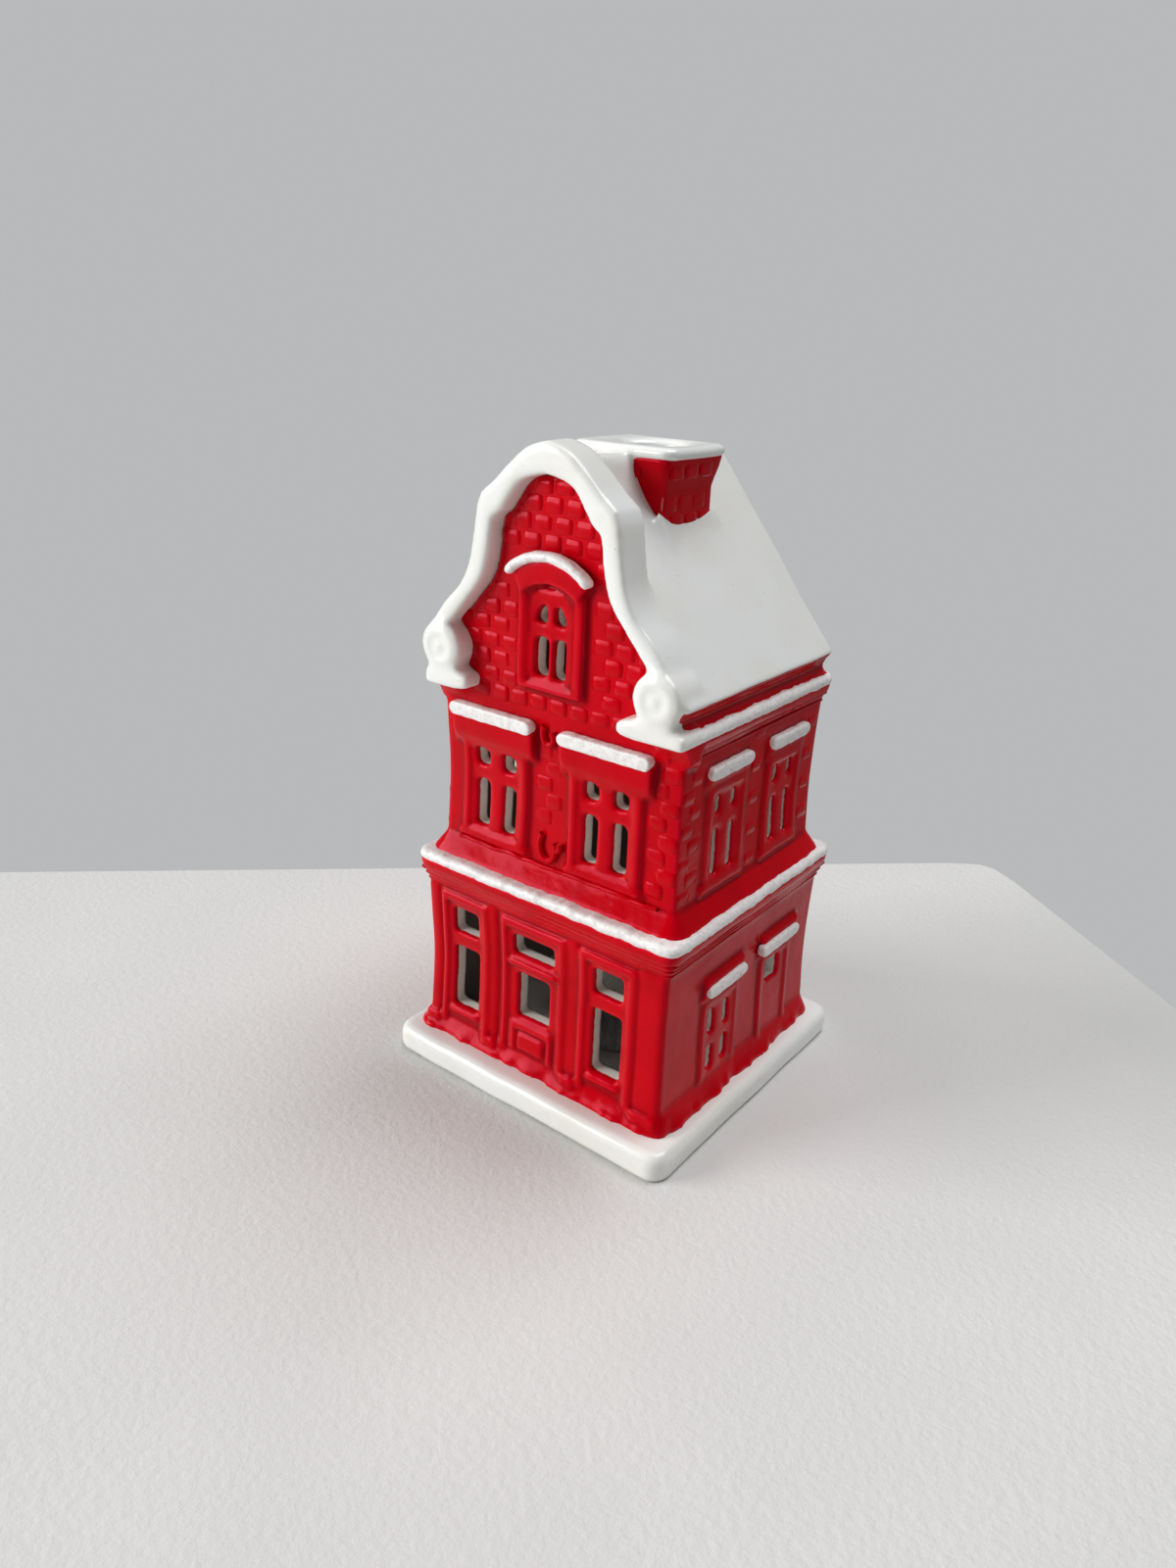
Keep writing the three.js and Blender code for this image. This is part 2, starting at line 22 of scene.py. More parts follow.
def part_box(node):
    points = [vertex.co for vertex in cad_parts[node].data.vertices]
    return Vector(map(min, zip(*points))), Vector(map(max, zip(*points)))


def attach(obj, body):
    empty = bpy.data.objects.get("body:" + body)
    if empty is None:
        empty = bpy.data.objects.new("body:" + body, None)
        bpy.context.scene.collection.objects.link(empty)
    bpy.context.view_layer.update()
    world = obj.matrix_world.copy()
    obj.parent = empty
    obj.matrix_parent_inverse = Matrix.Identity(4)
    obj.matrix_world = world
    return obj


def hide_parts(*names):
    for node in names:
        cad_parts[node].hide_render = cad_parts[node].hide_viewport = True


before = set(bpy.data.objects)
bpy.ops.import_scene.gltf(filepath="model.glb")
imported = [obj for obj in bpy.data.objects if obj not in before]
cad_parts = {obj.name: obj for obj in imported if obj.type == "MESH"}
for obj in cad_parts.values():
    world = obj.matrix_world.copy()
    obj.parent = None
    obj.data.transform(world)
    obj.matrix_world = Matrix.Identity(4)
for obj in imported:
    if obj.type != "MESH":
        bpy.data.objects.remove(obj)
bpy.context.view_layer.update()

logging.basicConfig(level=logging.INFO, format="%(message)s")
log = logging.getLogger("tealight_house")

MM = 0.001
HOUSE = "house"
CANDLE = "candle"
WALL = 4.0  # thickness of the cast body
LAP = 0.6  # how far shells reach into each other before they are cast together
HAND_WORK = (14.0, 0.22, 3.1)  # size, reach and seed of the walls' unevenness
NOISE_SEED = 11  # without one, the noise that moves points would start from the clock
CREST_HEIGHT = 0.22  # how proud of its surroundings a full crest is
CREST_ROUNDS = 10  # rounds of softening that the surroundings are found by

Pair = tuple[float, float]
Outline = Sequence[Pair]
Point = tuple[float, float, float]
Rect = tuple[float, float, float, float]


# ---------------------------------------------------------------- frame and numbers
def node_box(*names: str) -> tuple[np.ndarray, np.ndarray]:
    """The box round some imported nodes.

    Args:
        names: the nodes' names.

    Returns:
        The lowest and highest corners, in millimetres.
    """
    boxes = [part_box(name) for name in names]
    low = np.min([np.array(low) for low, _ in boxes], axis=0)
    high = np.max([np.array(high) for _, high in boxes], axis=0)
    return low / MM, high / MM


def ripple(along: float, size: float, seed: float) -> float:
    """Smooth noise from about -1 to 1 at a distance along an edge, with waves of one size."""
    return noise.noise(Vector((along / size, seed, 0.37))) * 1.6


def curve_through(points: Outline, steps: int) -> list[Pair]:
    """A smooth curve through points.

    Args:
        points: the points that the curve passes.
        steps: how many points the result has for each stretch.

    Returns:
        The points of the curve, ends included.
    """
    knots = [np.array(p, float) for p in points]
    knots = [knots[0], *knots, knots[-1]]
    result = []
    for a, b, c, d in zip(knots, knots[1:], knots[2:], knots[3:]):
        for t in np.linspace(0.0, 1.0, steps, endpoint=False):
            bend = 2 * b + (c - a) * t + (2 * a - 5 * b + 4 * c - d) * t**2 + (3 * b - a - 3 * c + d) * t**3
            result.append(tuple(bend / 2))
    return [*result, tuple(knots[-1])]


class Facing(Enum):
    """Which way a wall looks; the value is its outward direction in X and Y."""

    STREET = (0, -1)
    REAR = (0, 1)
    LEFT = (-1, 0)
    RIGHT = (1, 0)

    def at(self, u: float, out: float, v: float) -> Point:
        """The point u along the wall, out from the house's middle, and v up."""
        nx, ny = self.value
        return (nx * out + abs(ny) * u, ny * out + abs(nx) * u, v)


def arc(centre: Pair, radii: Pair, angles: Iterable[float]) -> list[Pair]:
    """The points of an ellipse at some angles from its first axis."""
    return [(centre[0] + radii[0] * math.cos(a), centre[1] + radii[1] * math.sin(a)) for a in angles]


def round_corners(reach_x: float, reach_y: float, radius: float, steps: int) -> list[Pair]:
    """A rectangle's outline, about the middle and with round corners.

    Args:
        reach_x: how far the middles of its corners' circles are from its own middle along X.
        reach_y: the same along Y.
        radius: the circles' radius.
        steps: how many points each corner has.

    Returns:
        The points, anticlockwise from the right.
    """
    points = []
    for quarter, (sx, sy) in enumerate(((1, 1), (-1, 1), (-1, -1), (1, -1))):
        angles = np.linspace(0, math.pi / 2, steps) + quarter * math.pi / 2
        points += arc((sx * reach_x, sy * reach_y), (radius, radius), angles)
    return points


# ---------------------------------------------------------------- node trees
Adder = Callable[..., bpy.types.NodeSocket]
SOFT = {"interpolation_type": "SMOOTHSTEP"}
COLOUR_MIX = {"data_type": "RGBA", "out": 2}  # its inputs are 0 for the factor, 6 and 7 for the colours


def add_node(
    tree: bpy.types.NodeTree, kind: str, inputs: dict | None = None, out: int | str | None = 0,
    **settings: object,
) -> bpy.types.NodeSocket | None:
    """Adds a node to a tree, with its settings and links.

    Args:
        tree: the shader or geometry tree.
        kind: the node's type name.
        inputs: for an input's name or index, a value, or the output socket to link to it.
        out: the name or index of the output that is wanted, or None if the node has none.
        settings: the node's own properties.

    Returns:
        The output that is wanted.
    """
    node = tree.nodes.new(kind)
    for name, value in settings.items():
        setattr(node, name, value)
    for key, value in (inputs or {}).items():
        if isinstance(value, bpy.types.NodeSocket):
            tree.links.new(value, node.inputs[key])
        else:
            node.inputs[key].default_value = value
    return None if out is None else node.outputs[out]


def srgb(colour: str) -> tuple[float, float, float, float]:
    """Turns an sRGB colour to linear.

    Args:
        colour: a hex colour such as #aa0010.

    Returns:
        The colour that a socket takes.
    """
    parts = [int(colour[i : i + 2], 16) / 255 for i in (1, 3, 5)]
    linear = [c / 12.92 if c <= 0.04045 else ((c + 0.055) / 1.055) ** 2.4 for c in parts]
    return (*linear, 1.0)


def per_mm(size: float) -> float:
    """The texture scale that makes a pattern repeat about every size millimetres."""
    return 1.0 / (size * MM)


def new_material(name: str) -> tuple[bpy.types.Material, Adder, bpy.types.NodeSocket]:
    """Starts a material.

    Args:
        name: its name.

    Returns:
        The material, the function that adds a node to it, and its object coordinates.
    """
    material = bpy.data.materials.new(name)
    material.use_nodes = True
    material.node_tree.nodes.clear()
    add = partial(add_node, material.node_tree)
    return material, add, add("ShaderNodeTexCoord", out="Object")


Coat = tuple[bpy.types.NodeSocket, float, float, float, str]


def lay_coats(add: Adder, body: str, coats: Sequence[Coat]) -> bpy.types.NodeSocket:
    """Lays colours one over another.

    Args:
        add: adds a node to the material.
        body: the colour under them all.
        coats: for each, the value that it follows, where on it the coat starts and is full, how much
            it covers there, and its colour.

    Returns:
        The colour of them all.
    """
    colour = srgb(body)
    for value, start, full, most, over in coats:
        inputs = {"Value": value, "From Min": start, "From Max": full, "To Max": most}
        cover = add("ShaderNodeMapRange", inputs, **SOFT)
        colour = add("ShaderNodeMix", {0: cover, 6: colour, 7: srgb(over)}, **COLOUR_MIX)
    return colour


def dimple(add: Adder, place: bpy.types.NodeSocket, dimples: Sequence[Pair]) -> bpy.types.NodeSocket:
    """Dimples a glaze's skin, as it does when it melts and cools.

    Args:
        add: adds a node to the material.
        place: the object coordinates.
        dimples: for each set of dimples, how far apart and how deep they are, in millimetres.

    Returns:
        The normal of the skin.
    """
    under = {}
    for size, reach in dimples:
        height = add("ShaderNodeTexNoise", {"Vector": place, "Scale": per_mm(size), "Detail": 1.0})
        skin = add("ShaderNodeBump", {"Height": height, "Distance": reach * MM, **under})
        under = {"Normal": skin}
    return skin


# ---------------------------------------------------------------- finishes
@dataclass(frozen=True)
class RedGlaze:
    """Transparent-topped red earthenware glaze, brushed on and fired: deep red, glossy, orange-peel skin.

    It is darker in recesses, where it pools and where shade is painted in, and brighter over edges,
    where it thins and where a highlight is painted in. It stops just inside each window, where the
    pale dipped glaze shows, and then the raw inside, painted dark grey as the shade within the house.
    """

    name: str = "red_brushed_earthenware_glaze"
    body: str = "#c4000f"
    # pooled: the darker red of the brush's thick patches, and painted shade in recesses
    pooled_and_recess_shade: str = "#92000c"
    # thin: brighter red over crests, partly thinner glaze and partly a painted highlight
    thin: str = "#d20820"
    sheen: str = "#ff6a8c"
    jamb: str = "#e2dfd6"
    # inside: the raw body inside the walls, painted dark grey as the shade within the house
    inside: str = "#77706a"
    peel: tuple[tuple[float, float], ...] = ((1.7, 0.035), (6.0, 0.16))  # mm between dimples, mm deep
    cloud: float = 11.0  # mm across the brush's thicker and thinner patches
    edge: float = 0.6  # mm that the red turns in at a window
    pale_to: float = 3.2  # mm of pale jamb before the raw inside
    fade: float = 0.35  # mm over which one gives way to the next

    def build(self) -> bpy.types.Material:
        """Builds the material.

        Returns:
            The material.
        """
        material, add, place = new_material(self.name)
        clouds = add("ShaderNodeTexNoise", {"Vector": place, "Scale": per_mm(self.cloud), "Detail": 3.0})
        crest = add("ShaderNodeAttribute", out="Fac", attribute_name="crest")
        depth = add("ShaderNodeAttribute", out="Fac", attribute_name="depth")
        drips = add("ShaderNodeTexNoise", {"Vector": place, "Scale": per_mm(1.8)})
        inputs = {"Value": drips, "From Min": 0.3, "From Max": 0.7, "To Min": -0.1, "To Max": 0.1}
        wander = add("ShaderNodeMapRange", inputs, **SOFT)
        ragged = add("ShaderNodeMath", {0: depth, 1: wander}, operation="ADD")
        colour = lay_coats(add, self.body, [
            # the crest coats paint shade into recesses and a highlight onto crests, along with the glaze's
            # pooling and thinning
            (clouds, 0.35, 0.75, 0.3, self.pooled_and_recess_shade), (crest, -0.05, -0.7, 1.0, self.pooled_and_recess_shade),
            (crest, 0.25, 1.0, 0.7, self.thin), (ragged, self.edge, self.edge + self.fade, 1.0, self.jamb),
            # past pale_to the inside colour paints the shade within the house
            (ragged, self.pale_to, self.pale_to + self.fade, 1.0, self.inside),
        ])
        inputs = {"Value": clouds, "From Min": 0.3, "From Max": 0.75, "To Min": 0.14, "To Max": 0.24}
        gloss = add("ShaderNodeMapRange", inputs, **SOFT)
        inputs = {"Value": depth, "From Min": self.pale_to, "From Max": self.pale_to + 0.5, "To Max": 0.5}
        raw = add("ShaderNodeMapRange", inputs, **SOFT)
        surface = add("ShaderNodeBsdfPrincipled", {
            "Base Color": colour, "Roughness": add("ShaderNodeMath", {0: gloss, 1: raw}, operation="ADD"),
            "IOR": 1.5, "Specular IOR Level": 0.2, "Specular Tint": srgb(self.sheen),
            "Normal": dimple(add, place, self.peel),
        })
        add("ShaderNodeOutputMaterial", {"Surface": surface}, None)
        return material


@dataclass(frozen=True)
class WhiteGlaze:
    """Opaque white tin glaze over the thick modelled snow: glossy, faintly cream, a few iron specks.

    The underside is wiped back to the raw body, so that the piece doesn't stick to the kiln shelf.
    """

    name: str = "white_tin_glaze"
    body: str = "#eff0ed"
    cream: str = "#ebe9df"
    # pooled: greyer white in recesses, painted shade with a little pooling of the glaze
    pooled_and_recess_shade: str = "#d3d3cb"
    speck: str = "#4b443c"
    raw: str = "#b5ac9e"
    speck_pitch: float = 3.4  # mm between specks before most miss the surface
    speck_radius: float = 0.13
    wiped_from: float = 3.3  # mm of depth at which the raw body starts
    skin: tuple[tuple[float, float], ...] = ((1.5, 0.02), (7.0, 0.07))  # mm between dimples, mm deep

    def build(self) -> bpy.types.Material:
        """Builds the material.

        Returns:
            The material.
        """
        material, add, place = new_material(self.name)
        clouds = add("ShaderNodeTexNoise", {"Vector": place, "Scale": per_mm(16.0), "Detail": 3.0})
        crest = add("ShaderNodeAttribute", out="Fac", attribute_name="crest")
        depth = add("ShaderNodeAttribute", out="Fac", attribute_name="depth")
        specks = add("ShaderNodeTexVoronoi", {"Vector": place, "Scale": per_mm(self.speck_pitch)})
        reach = self.speck_radius / self.speck_pitch
        wiped_to = self.wiped_from + 0.5
        colour = lay_coats(add, self.body, [
            # the crest coat paints shade into recesses
            (clouds, 0.38, 0.7, 0.6, self.cream), (crest, -0.35, -1.2, 0.6, self.pooled_and_recess_shade),
            (specks, reach, reach * 0.6, 0.85, self.speck), (depth, self.wiped_from, wiped_to, 1.0, self.raw),
        ])
        inputs = {"Value": clouds, "From Min": 0.3, "From Max": 0.7, "To Min": 0.2, "To Max": 0.3}
        gloss = add("ShaderNodeMapRange", inputs, **SOFT)
        inputs = {"Value": depth, "From Min": self.wiped_from, "From Max": wiped_to, "To Max": 0.5}
        raw = add("ShaderNodeMapRange", inputs, **SOFT)
        surface = add("ShaderNodeBsdfPrincipled", {
            "Base Color": colour, "Roughness": add("ShaderNodeMath", {0: gloss, 1: raw}, operation="ADD"),
            "IOR": 1.5, "Coat Weight": 0.2, "Coat Roughness": 0.06, "Normal": dimple(add, place, self.skin),
        })
        add("ShaderNodeOutputMaterial", {"Surface": surface}, None)
        return material


@dataclass(frozen=True)
class SnowEnamel:
    """White relief enamel, squeezed on thick over the red: satin, slightly crumbly, nicked to the red."""

    name: str = "white_relief_enamel"
    body: str = "#f0eeec"
    shade: str = "#d9d3d0"
    under: str = "#b4454c"
    crumb: float = 1.0  # mm between the small lumps
    nick: float = 2.6  # mm between the places where it can be nicked

    def build(self) -> bpy.types.Material:
        """Builds the material.

        Returns:
            The material.
        """
        material, add, place = new_material(self.name)
        inputs = {"Vector": place, "Scale": per_mm(self.crumb), "Detail": 3.0, "Roughness": 0.6}
        crumbs = add("ShaderNodeTexNoise", inputs)
        patches = add("ShaderNodeTexNoise", {"Vector": place, "Scale": per_mm(self.nick)})
        inputs = {"Value": patches, "From Min": 0.66, "From Max": 0.72, "To Max": 0.5}
        bare = add("ShaderNodeMapRange", inputs, **SOFT)
        gritty = add("ShaderNodeMapRange", {"Value": crumbs, "From Min": 0.45, "From Max": 0.6}, **SOFT)
        nicked = add("ShaderNodeMath", {0: bare, 1: gritty}, operation="MULTIPLY")
        colour = lay_coats(add, self.body, [(crumbs, 0.56, 0.36, 0.6, self.shade)])
        colour = add("ShaderNodeMix", {0: nicked, 6: colour, 7: srgb(self.under)}, **COLOUR_MIX)
        surface = add("ShaderNodeBsdfPrincipled", {
            "Base Color": colour, "Roughness": 0.42, "IOR": 1.5, "Coat Weight": 0.1, "Coat Roughness": 0.2,
            "Normal": add("ShaderNodeBump", {"Height": crumbs, "Distance": 0.16 * MM}),
        })
        add("ShaderNodeOutputMaterial", {"Surface": surface}, None)
        return material


@dataclass(frozen=True)
class RolledAluminium:
    """Thin rolled aluminium, drawn into a cup: bright, with fine upright draw lines."""

    name: str = "rolled_aluminium"
    body: str = "#cfd1d3"
    line: str = "#9a9da0"

    def build(self) -> bpy.types.Material:
        """Builds the material; its draw lines are wider apart than real ones, so that they show.

        Returns:
            The material.
        """
        material, add, place = new_material(self.name)
        squeeze = add("ShaderNodeMapping", {"Vector": place, "Scale": (6.0, 6.0, 0.6)})
        lines = add("ShaderNodeTexNoise", {"Vector": squeeze, "Scale": per_mm(1.4), "Detail": 3.0})
        inputs = {"Value": lines, "From Min": 0.3, "From Max": 0.7, "To Min": 0.22, "To Max": 0.42}
        surface = add("ShaderNodeBsdfPrincipled", {
            "Base Color": lay_coats(add, self.body, [(lines, 0.3, 0.7, 0.35, self.line)]), "Metallic": 1.0,
            "Roughness": add("ShaderNodeMapRange", inputs, **SOFT),
            "Normal": add("ShaderNodeBump", {"Height": lines, "Distance": 0.02 * MM}),
        })
        add("ShaderNodeOutputMaterial", {"Surface": surface}, None)
        return material


@dataclass(frozen=True)
class ParaffinWax:
    """Pressed white paraffin: milky, satin, slightly translucent, with a faint grain."""

    name: str = "pressed_paraffin_wax"
    body: str = "#f2efe6"
    grain: str = "#dfdacb"

    def build(self) -> bpy.types.Material:
        """Builds the material.

        Returns:
            The material.
        """
        material, add, place = new_material(self.name)
        grain = add("ShaderNodeTexNoise", {"Vector": place, "Scale": per_mm(0.8), "Detail": 3.0})
        surface = add("ShaderNodeBsdfPrincipled", {
            "Base Color": lay_coats(add, self.body, [(grain, 0.35, 0.7, 0.5, self.grain)]), "Roughness": 0.42,
            "IOR": 1.44, "Subsurface Weight": 0.25, "Subsurface Radius": (4 * MM, 3 * MM, 2 * MM),
            "Subsurface Scale": 1.0,
            "Normal": add("ShaderNodeBump", {"Height": grain, "Distance": 0.04 * MM}),
        })
        add("ShaderNodeOutputMaterial", {"Surface": surface}, None)
        return material


@dataclass(frozen=True)
class WaxedCotton:
    """Braided cotton dipped in wax: off-white, dull, with a little yarn fuzz in the shade."""

    name: str = "waxed_cotton_braid"
    body: str = "#e6dfca"
    shade: str = "#b9b095"

    def build(self) -> bpy.types.Material:
        """Builds the material.

        Returns:
            The material.
        """
        material, add, place = new_material(self.name)
        yarn = add("ShaderNodeTexNoise", {"Vector": place, "Scale": per_mm(0.3)})
        surface = add("ShaderNodeBsdfPrincipled", {
            "Base Color": lay_coats(add, self.body, [(yarn, 0.3, 0.7, 1.0, self.shade)]), "Roughness": 0.8,
            "Normal": add("ShaderNodeBump", {"Height": yarn, "Distance": 0.05 * MM}),
        })
        add("ShaderNodeOutputMaterial", {"Surface": surface}, None)
        return material


@dataclass(frozen=True)
class TableTop:
    """A plain pale matt table top, finely grained."""

    name: str = "pale_matt_table"
    body: str = "#d2d1ce"
    cloud: str = "#c6c6c3"

    def build(self) -> bpy.types.Material:
        """Builds the material.

        Returns:
            The material.
        """
        material, add, place = new_material(self.name)
        clouds = add("ShaderNodeTexNoise", {"Vector": place, "Scale": per_mm(60.0), "Detail": 3.0})
        inputs = {"Vector": place, "Scale": per_mm(2.1), "Detail": 4.0, "Roughness": 0.6}
        grain = add("ShaderNodeTexNoise", inputs)
        surface = add("ShaderNodeBsdfPrincipled", {
            "Base Color": lay_coats(add, self.body, [(clouds, 0.3, 0.7, 0.35, self.cloud)]),
            "Roughness": 0.62,
            "Normal": add("ShaderNodeBump", {"Height": grain, "Distance": 0.3 * MM}),
        })
        add("ShaderNodeOutputMaterial", {"Surface": surface}, None)
        return material


class Finish(Enum):
    """The finishes, each with the record's material slot that it stands for."""

    RED = (RedGlaze(), "red_glaze")
    WHITE = (WhiteGlaze(), "white_glaze")
    SNOW = (SnowEnamel(), "white_glaze")
    TIN = (RolledAluminium(), "tin")
    WAX = (ParaffinWax(), "wax")
    COTTON = (WaxedCotton(), "cotton")

    @property
    def material(self) -> bpy.types.Material:
        """The finish's material, built the first time that it is asked for."""
        recipe, _ = self.value
        return bpy.data.materials.get(recipe.name) or recipe.build()


# ---------------------------------------------------------------- meshes
def relax(co: np.ndarray, edges: np.ndarray, rounds: int, strength: float = 0.5) -> np.ndarray:
    """Moves each point towards the middle of its neighbours.

    Args:
        co: the points.
        edges: pairs of points that are neighbours.
        rounds: how many times.
        strength: how much of the way each time.

    Returns:
        The points after it.
    """
    count = len(co)
    degree = np.maximum(np.bincount(edges.ravel(), minlength=count), 1)[:, None]
    first, second = edges[:, 0], edges[:, 1]
    for _ in range(rounds):
        sums = []
        for k in range(3):
            sums.append(np.bincount(first, co[second, k], count) + np.bincount(second, co[first, k], count))
        co = co + strength * (np.stack(sums, axis=1) / degree - co)
    return co


def waver(co: np.ndarray, size: float, reach: float, seed: float) -> np.ndarray:
    """Points pushed about by smooth noise, as hand work does.

    Args:
        co: the points, in millimetres.
        size: how far apart the bumps are.
        reach: how far a point moves at most, about.
        seed: which noise.

    Returns:
        The moved points.
    """
    return co + reach * np.array([noise.noise_vector(Vector(p)) for p in co / size + seed])


def read_points(mesh: bpy.types.Mesh) -> np.ndarray:
    """Reads a mesh's vertices.

    Args:
        mesh: the mesh.

    Returns:
        Rows of three numbers, in the mesh's own unit.
    """
    flat = np.empty(len(mesh.vertices) * 3, np.float32)
    mesh.vertices.foreach_get("co", flat)
    return flat.reshape(-1, 3).astype(float)


def write_points(mesh: bpy.types.Mesh, co: np.ndarray) -> None:
    """Puts a mesh's vertices at points in millimetres, which makes it a mesh in metres."""
    mesh.vertices.foreach_set("co", (co * MM).ravel())
    mesh.update()


def write_values(mesh: bpy.types.Mesh, name: str, values: np.ndarray) -> None:
    """Stores one number for each vertex under a name that the materials read."""
    layer = mesh.attributes.new(name, "FLOAT", "POINT")
    layer.data.foreach_set("value", values.astype(np.float32))


def settle(obj: bpy.types.Object) -> bpy.types.Mesh:
    """Turns an object's modifiers into plain mesh and takes them off.

    Args:
        obj: the object.

    Returns:
        Its new mesh.
    """
    bpy.context.view_layer.update()
    evaluated = obj.evaluated_get(bpy.context.evaluated_depsgraph_get())
    mesh = bpy.data.meshes.new_from_object(evaluated)
    obj.modifiers.clear()
    obj.data = mesh
    mesh.name = obj.name
    return mesh


def put_in_scene(name: str, mesh: bpy.types.Mesh) -> bpy.types.Object:
    """Puts a mesh in the scene.

    Args:
        name: the object's name.
        mesh: the mesh.

    Returns:
        The new object.
    """
    obj = bpy.data.objects.new(name, mesh)
    bpy.context.scene.collection.objects.link(obj)
    return obj


def dress(obj: bpy.types.Object, finish: Finish, body: str, nodes: Iterable[str] = ()) -> bpy.types.Object:
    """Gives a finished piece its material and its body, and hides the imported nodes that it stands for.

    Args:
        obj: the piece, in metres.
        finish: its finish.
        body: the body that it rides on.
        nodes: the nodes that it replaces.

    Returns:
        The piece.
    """
    obj.data.materials.clear()
    obj.data.materials.append(finish.material)
    obj.data.shade_smooth()
    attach(obj, body)
    if nodes:
        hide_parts(*nodes)
    log.info("%-28s %7d faces, rides on %s", obj.name, len(obj.data.polygons), body)
    return obj


Shift = Callable[[np.ndarray], np.ndarray]


def unmoved(co: np.ndarray) -> np.ndarray:
    """Leaves points where they are."""
    return co


def skin_deep(co: np.ndarray) -> np.ndarray:
    """Says that every point is on the outside."""
    return np.zeros(len(co))


class Mould:
    """Closed shells in millimetres that are laid up together and cast into one soft-edged skin."""

    def __init__(self) -> None:
        """Starts with nothing laid up."""
        self.points: list[Point] = []
        self.faces: list[tuple[int, ...]] = []

    def loft(self, rings: Sequence[Sequence[Point]], loop: bool = False) -> None:
        """Adds the shell through rings of points.

        Args:
            rings: rings with the same number of points.
            loop: whether the last ring meets the first; if not, both ends are closed.
        """
        start, size = len(self.points), len(rings[0])
        for ring in rings:
            self.points.extend(ring)
        pairs = list(zip(range(len(rings)), range(1, len(rings))))
        if loop:
            pairs.append((len(rings) - 1, 0))
        for low, high in pairs:
            a, b = start + low * size, start + high * size
            self.faces.extend((a + i, a + (i + 1) % size, b + (i + 1) % size, b + i) for i in range(size))
        if not loop:
            last = start + (len(rings) - 1) * size
            self.faces.append(tuple(range(start, start + size))[::-1])
            self.faces.append(tuple(range(last, last + size)))

    def prism(self, facing: Facing, outline: Outline, near: float, far: float) -> None:
        """Adds an outline of a wall's u and v, as thick as from near to far out from the middle."""
        self.loft([[facing.at(u, out, v) for u, v in outline] for out in (near, far)])

    def block(self, facing: Facing, rect: Rect, near: float, far: float) -> None:
        """Adds a box on a wall; rect holds its lowest and highest u and its lowest and highest v."""
        u0, u1, v0, v1 = rect
        self.prism(facing, [(u0, v0), (u1, v0), (u1, v1), (u0, v1)], near, far)

    def rail(self, facing: Facing, u0: float, u1: float, profile: Outline) -> None:
        """Adds a profile of pairs of out and v, run along a wall from u0 to u1."""
        self.loft([[facing.at(u, out, v) for out, v in profile] for u in (u0, u1)])

    def pierced(self, facing: Facing, rect: Rect, near: float, far: float, holes: Sequence[Rect]) -> None:
        """Adds a plate with rectangular holes, laid up from the cells between the holes' edges.

        Args:
            facing: the wall that the plate is on.
            rect: its lowest and highest u, and its lowest and highest v.
            near: its back, out from the middle.
            far: its face.
            holes: rectangles in the same order as rect.
        """
        u0, u1, v0, v1 = rect
        us = sorted({u0, u1, *(u for h in holes for u in h[:2] if u0 < u < u1)})
        vs = sorted({v0, v1, *(v for h in holes for v in h[2:] if v0 < v < v1)})
        for left, right in zip(us, us[1:]):
            for low, high in zip(vs, vs[1:]):
                u, v = (left + right) / 2, (low + high) / 2
                if not any(h[0] < u < h[1] and h[2] < v < h[3] for h in holes):
                    self.block(facing, (left, right, low, high), near, far)

    def around(
        self, half_x: float, half_y: float, profile: Callable[[float], Outline],
        corner: float = 0.8, step: float = 1.2, centre_y: float = 0.0, quarters: int = 4,
    ) -> None:
        """Adds a moulding that runs round a rectangle.

        Args:
            half_x: half the rectangle's width.
            half_y: half its depth.
            profile: for a distance along the way, the closed profile as pairs of out and height.
            corner: the radius that the rectangle's corners turn at.
            step: the distance between sections.
            centre_y: the middle of the rectangle along Y.
            quarters: how many sides it runs along, from the right side by the rear.
        """
        rings, along = [], 0.0
        for quarter in range(quarters):
            angle = quarter * math.pi / 2
            turn = Matrix.Rotation(angle, 2)
            side, reach = (half_x, half_y) if quarter % 2 == 0 else (half_y, half_x)
            straight = 2 * (reach - corner)
            stations = [(side, t, 0.0) for t in np.arange(-reach + corner, reach - corner, step)]
            bend = np.linspace(0, math.pi / 2, 4, endpoint=False)
            turned = arc((side - corner, reach - corner), (corner, corner), bend)
            stations += [(x, y, a) for (x, y), a in zip(turned, bend)]
            for x, y, a in stations:
                base = turn @ Vector((x, y))
                normal = Vector((math.cos(angle + a), math.sin(angle + a)))
                s = along + y + reach
                section = profile(s)
                rings.append([
                    (base.x + normal.x * out, base.y + normal.y * out + centre_y, z) for out, z in section
                ])
            along += straight + corner * math.pi / 2
        self.loft(rings, loop=quarters == 4)

    def rod(self, path: Sequence[Point], radius: float, sides: int = 8) -> None:
        """Adds a round rod along a path, with narrowed ends.

        Args:
            path: the points that its middle passes.
            radius: its radius.
            sides: how many steps go round it.
        """
        way = [Vector(p) for p in path]
        rings = []
        for i, p in enumerate(way):
            ahead = (way[min(i + 1, len(way) - 1)] - way[max(i - 1, 0)]).normalized()
            across = ahead.orthogonal() if i == 0 else (across - ahead * across.dot(ahead))
            across.normalize()
            upward = ahead.cross(across)
            thin = radius * (0.55 if i in (0, len(way) - 1) else 1.0)
            angles = (2 * math.pi * k / sides for k in range(sides))
            rings.append([tuple(p + thin * (across * math.cos(t) + upward * math.sin(t))) for t in angles])
        self.loft(rings)

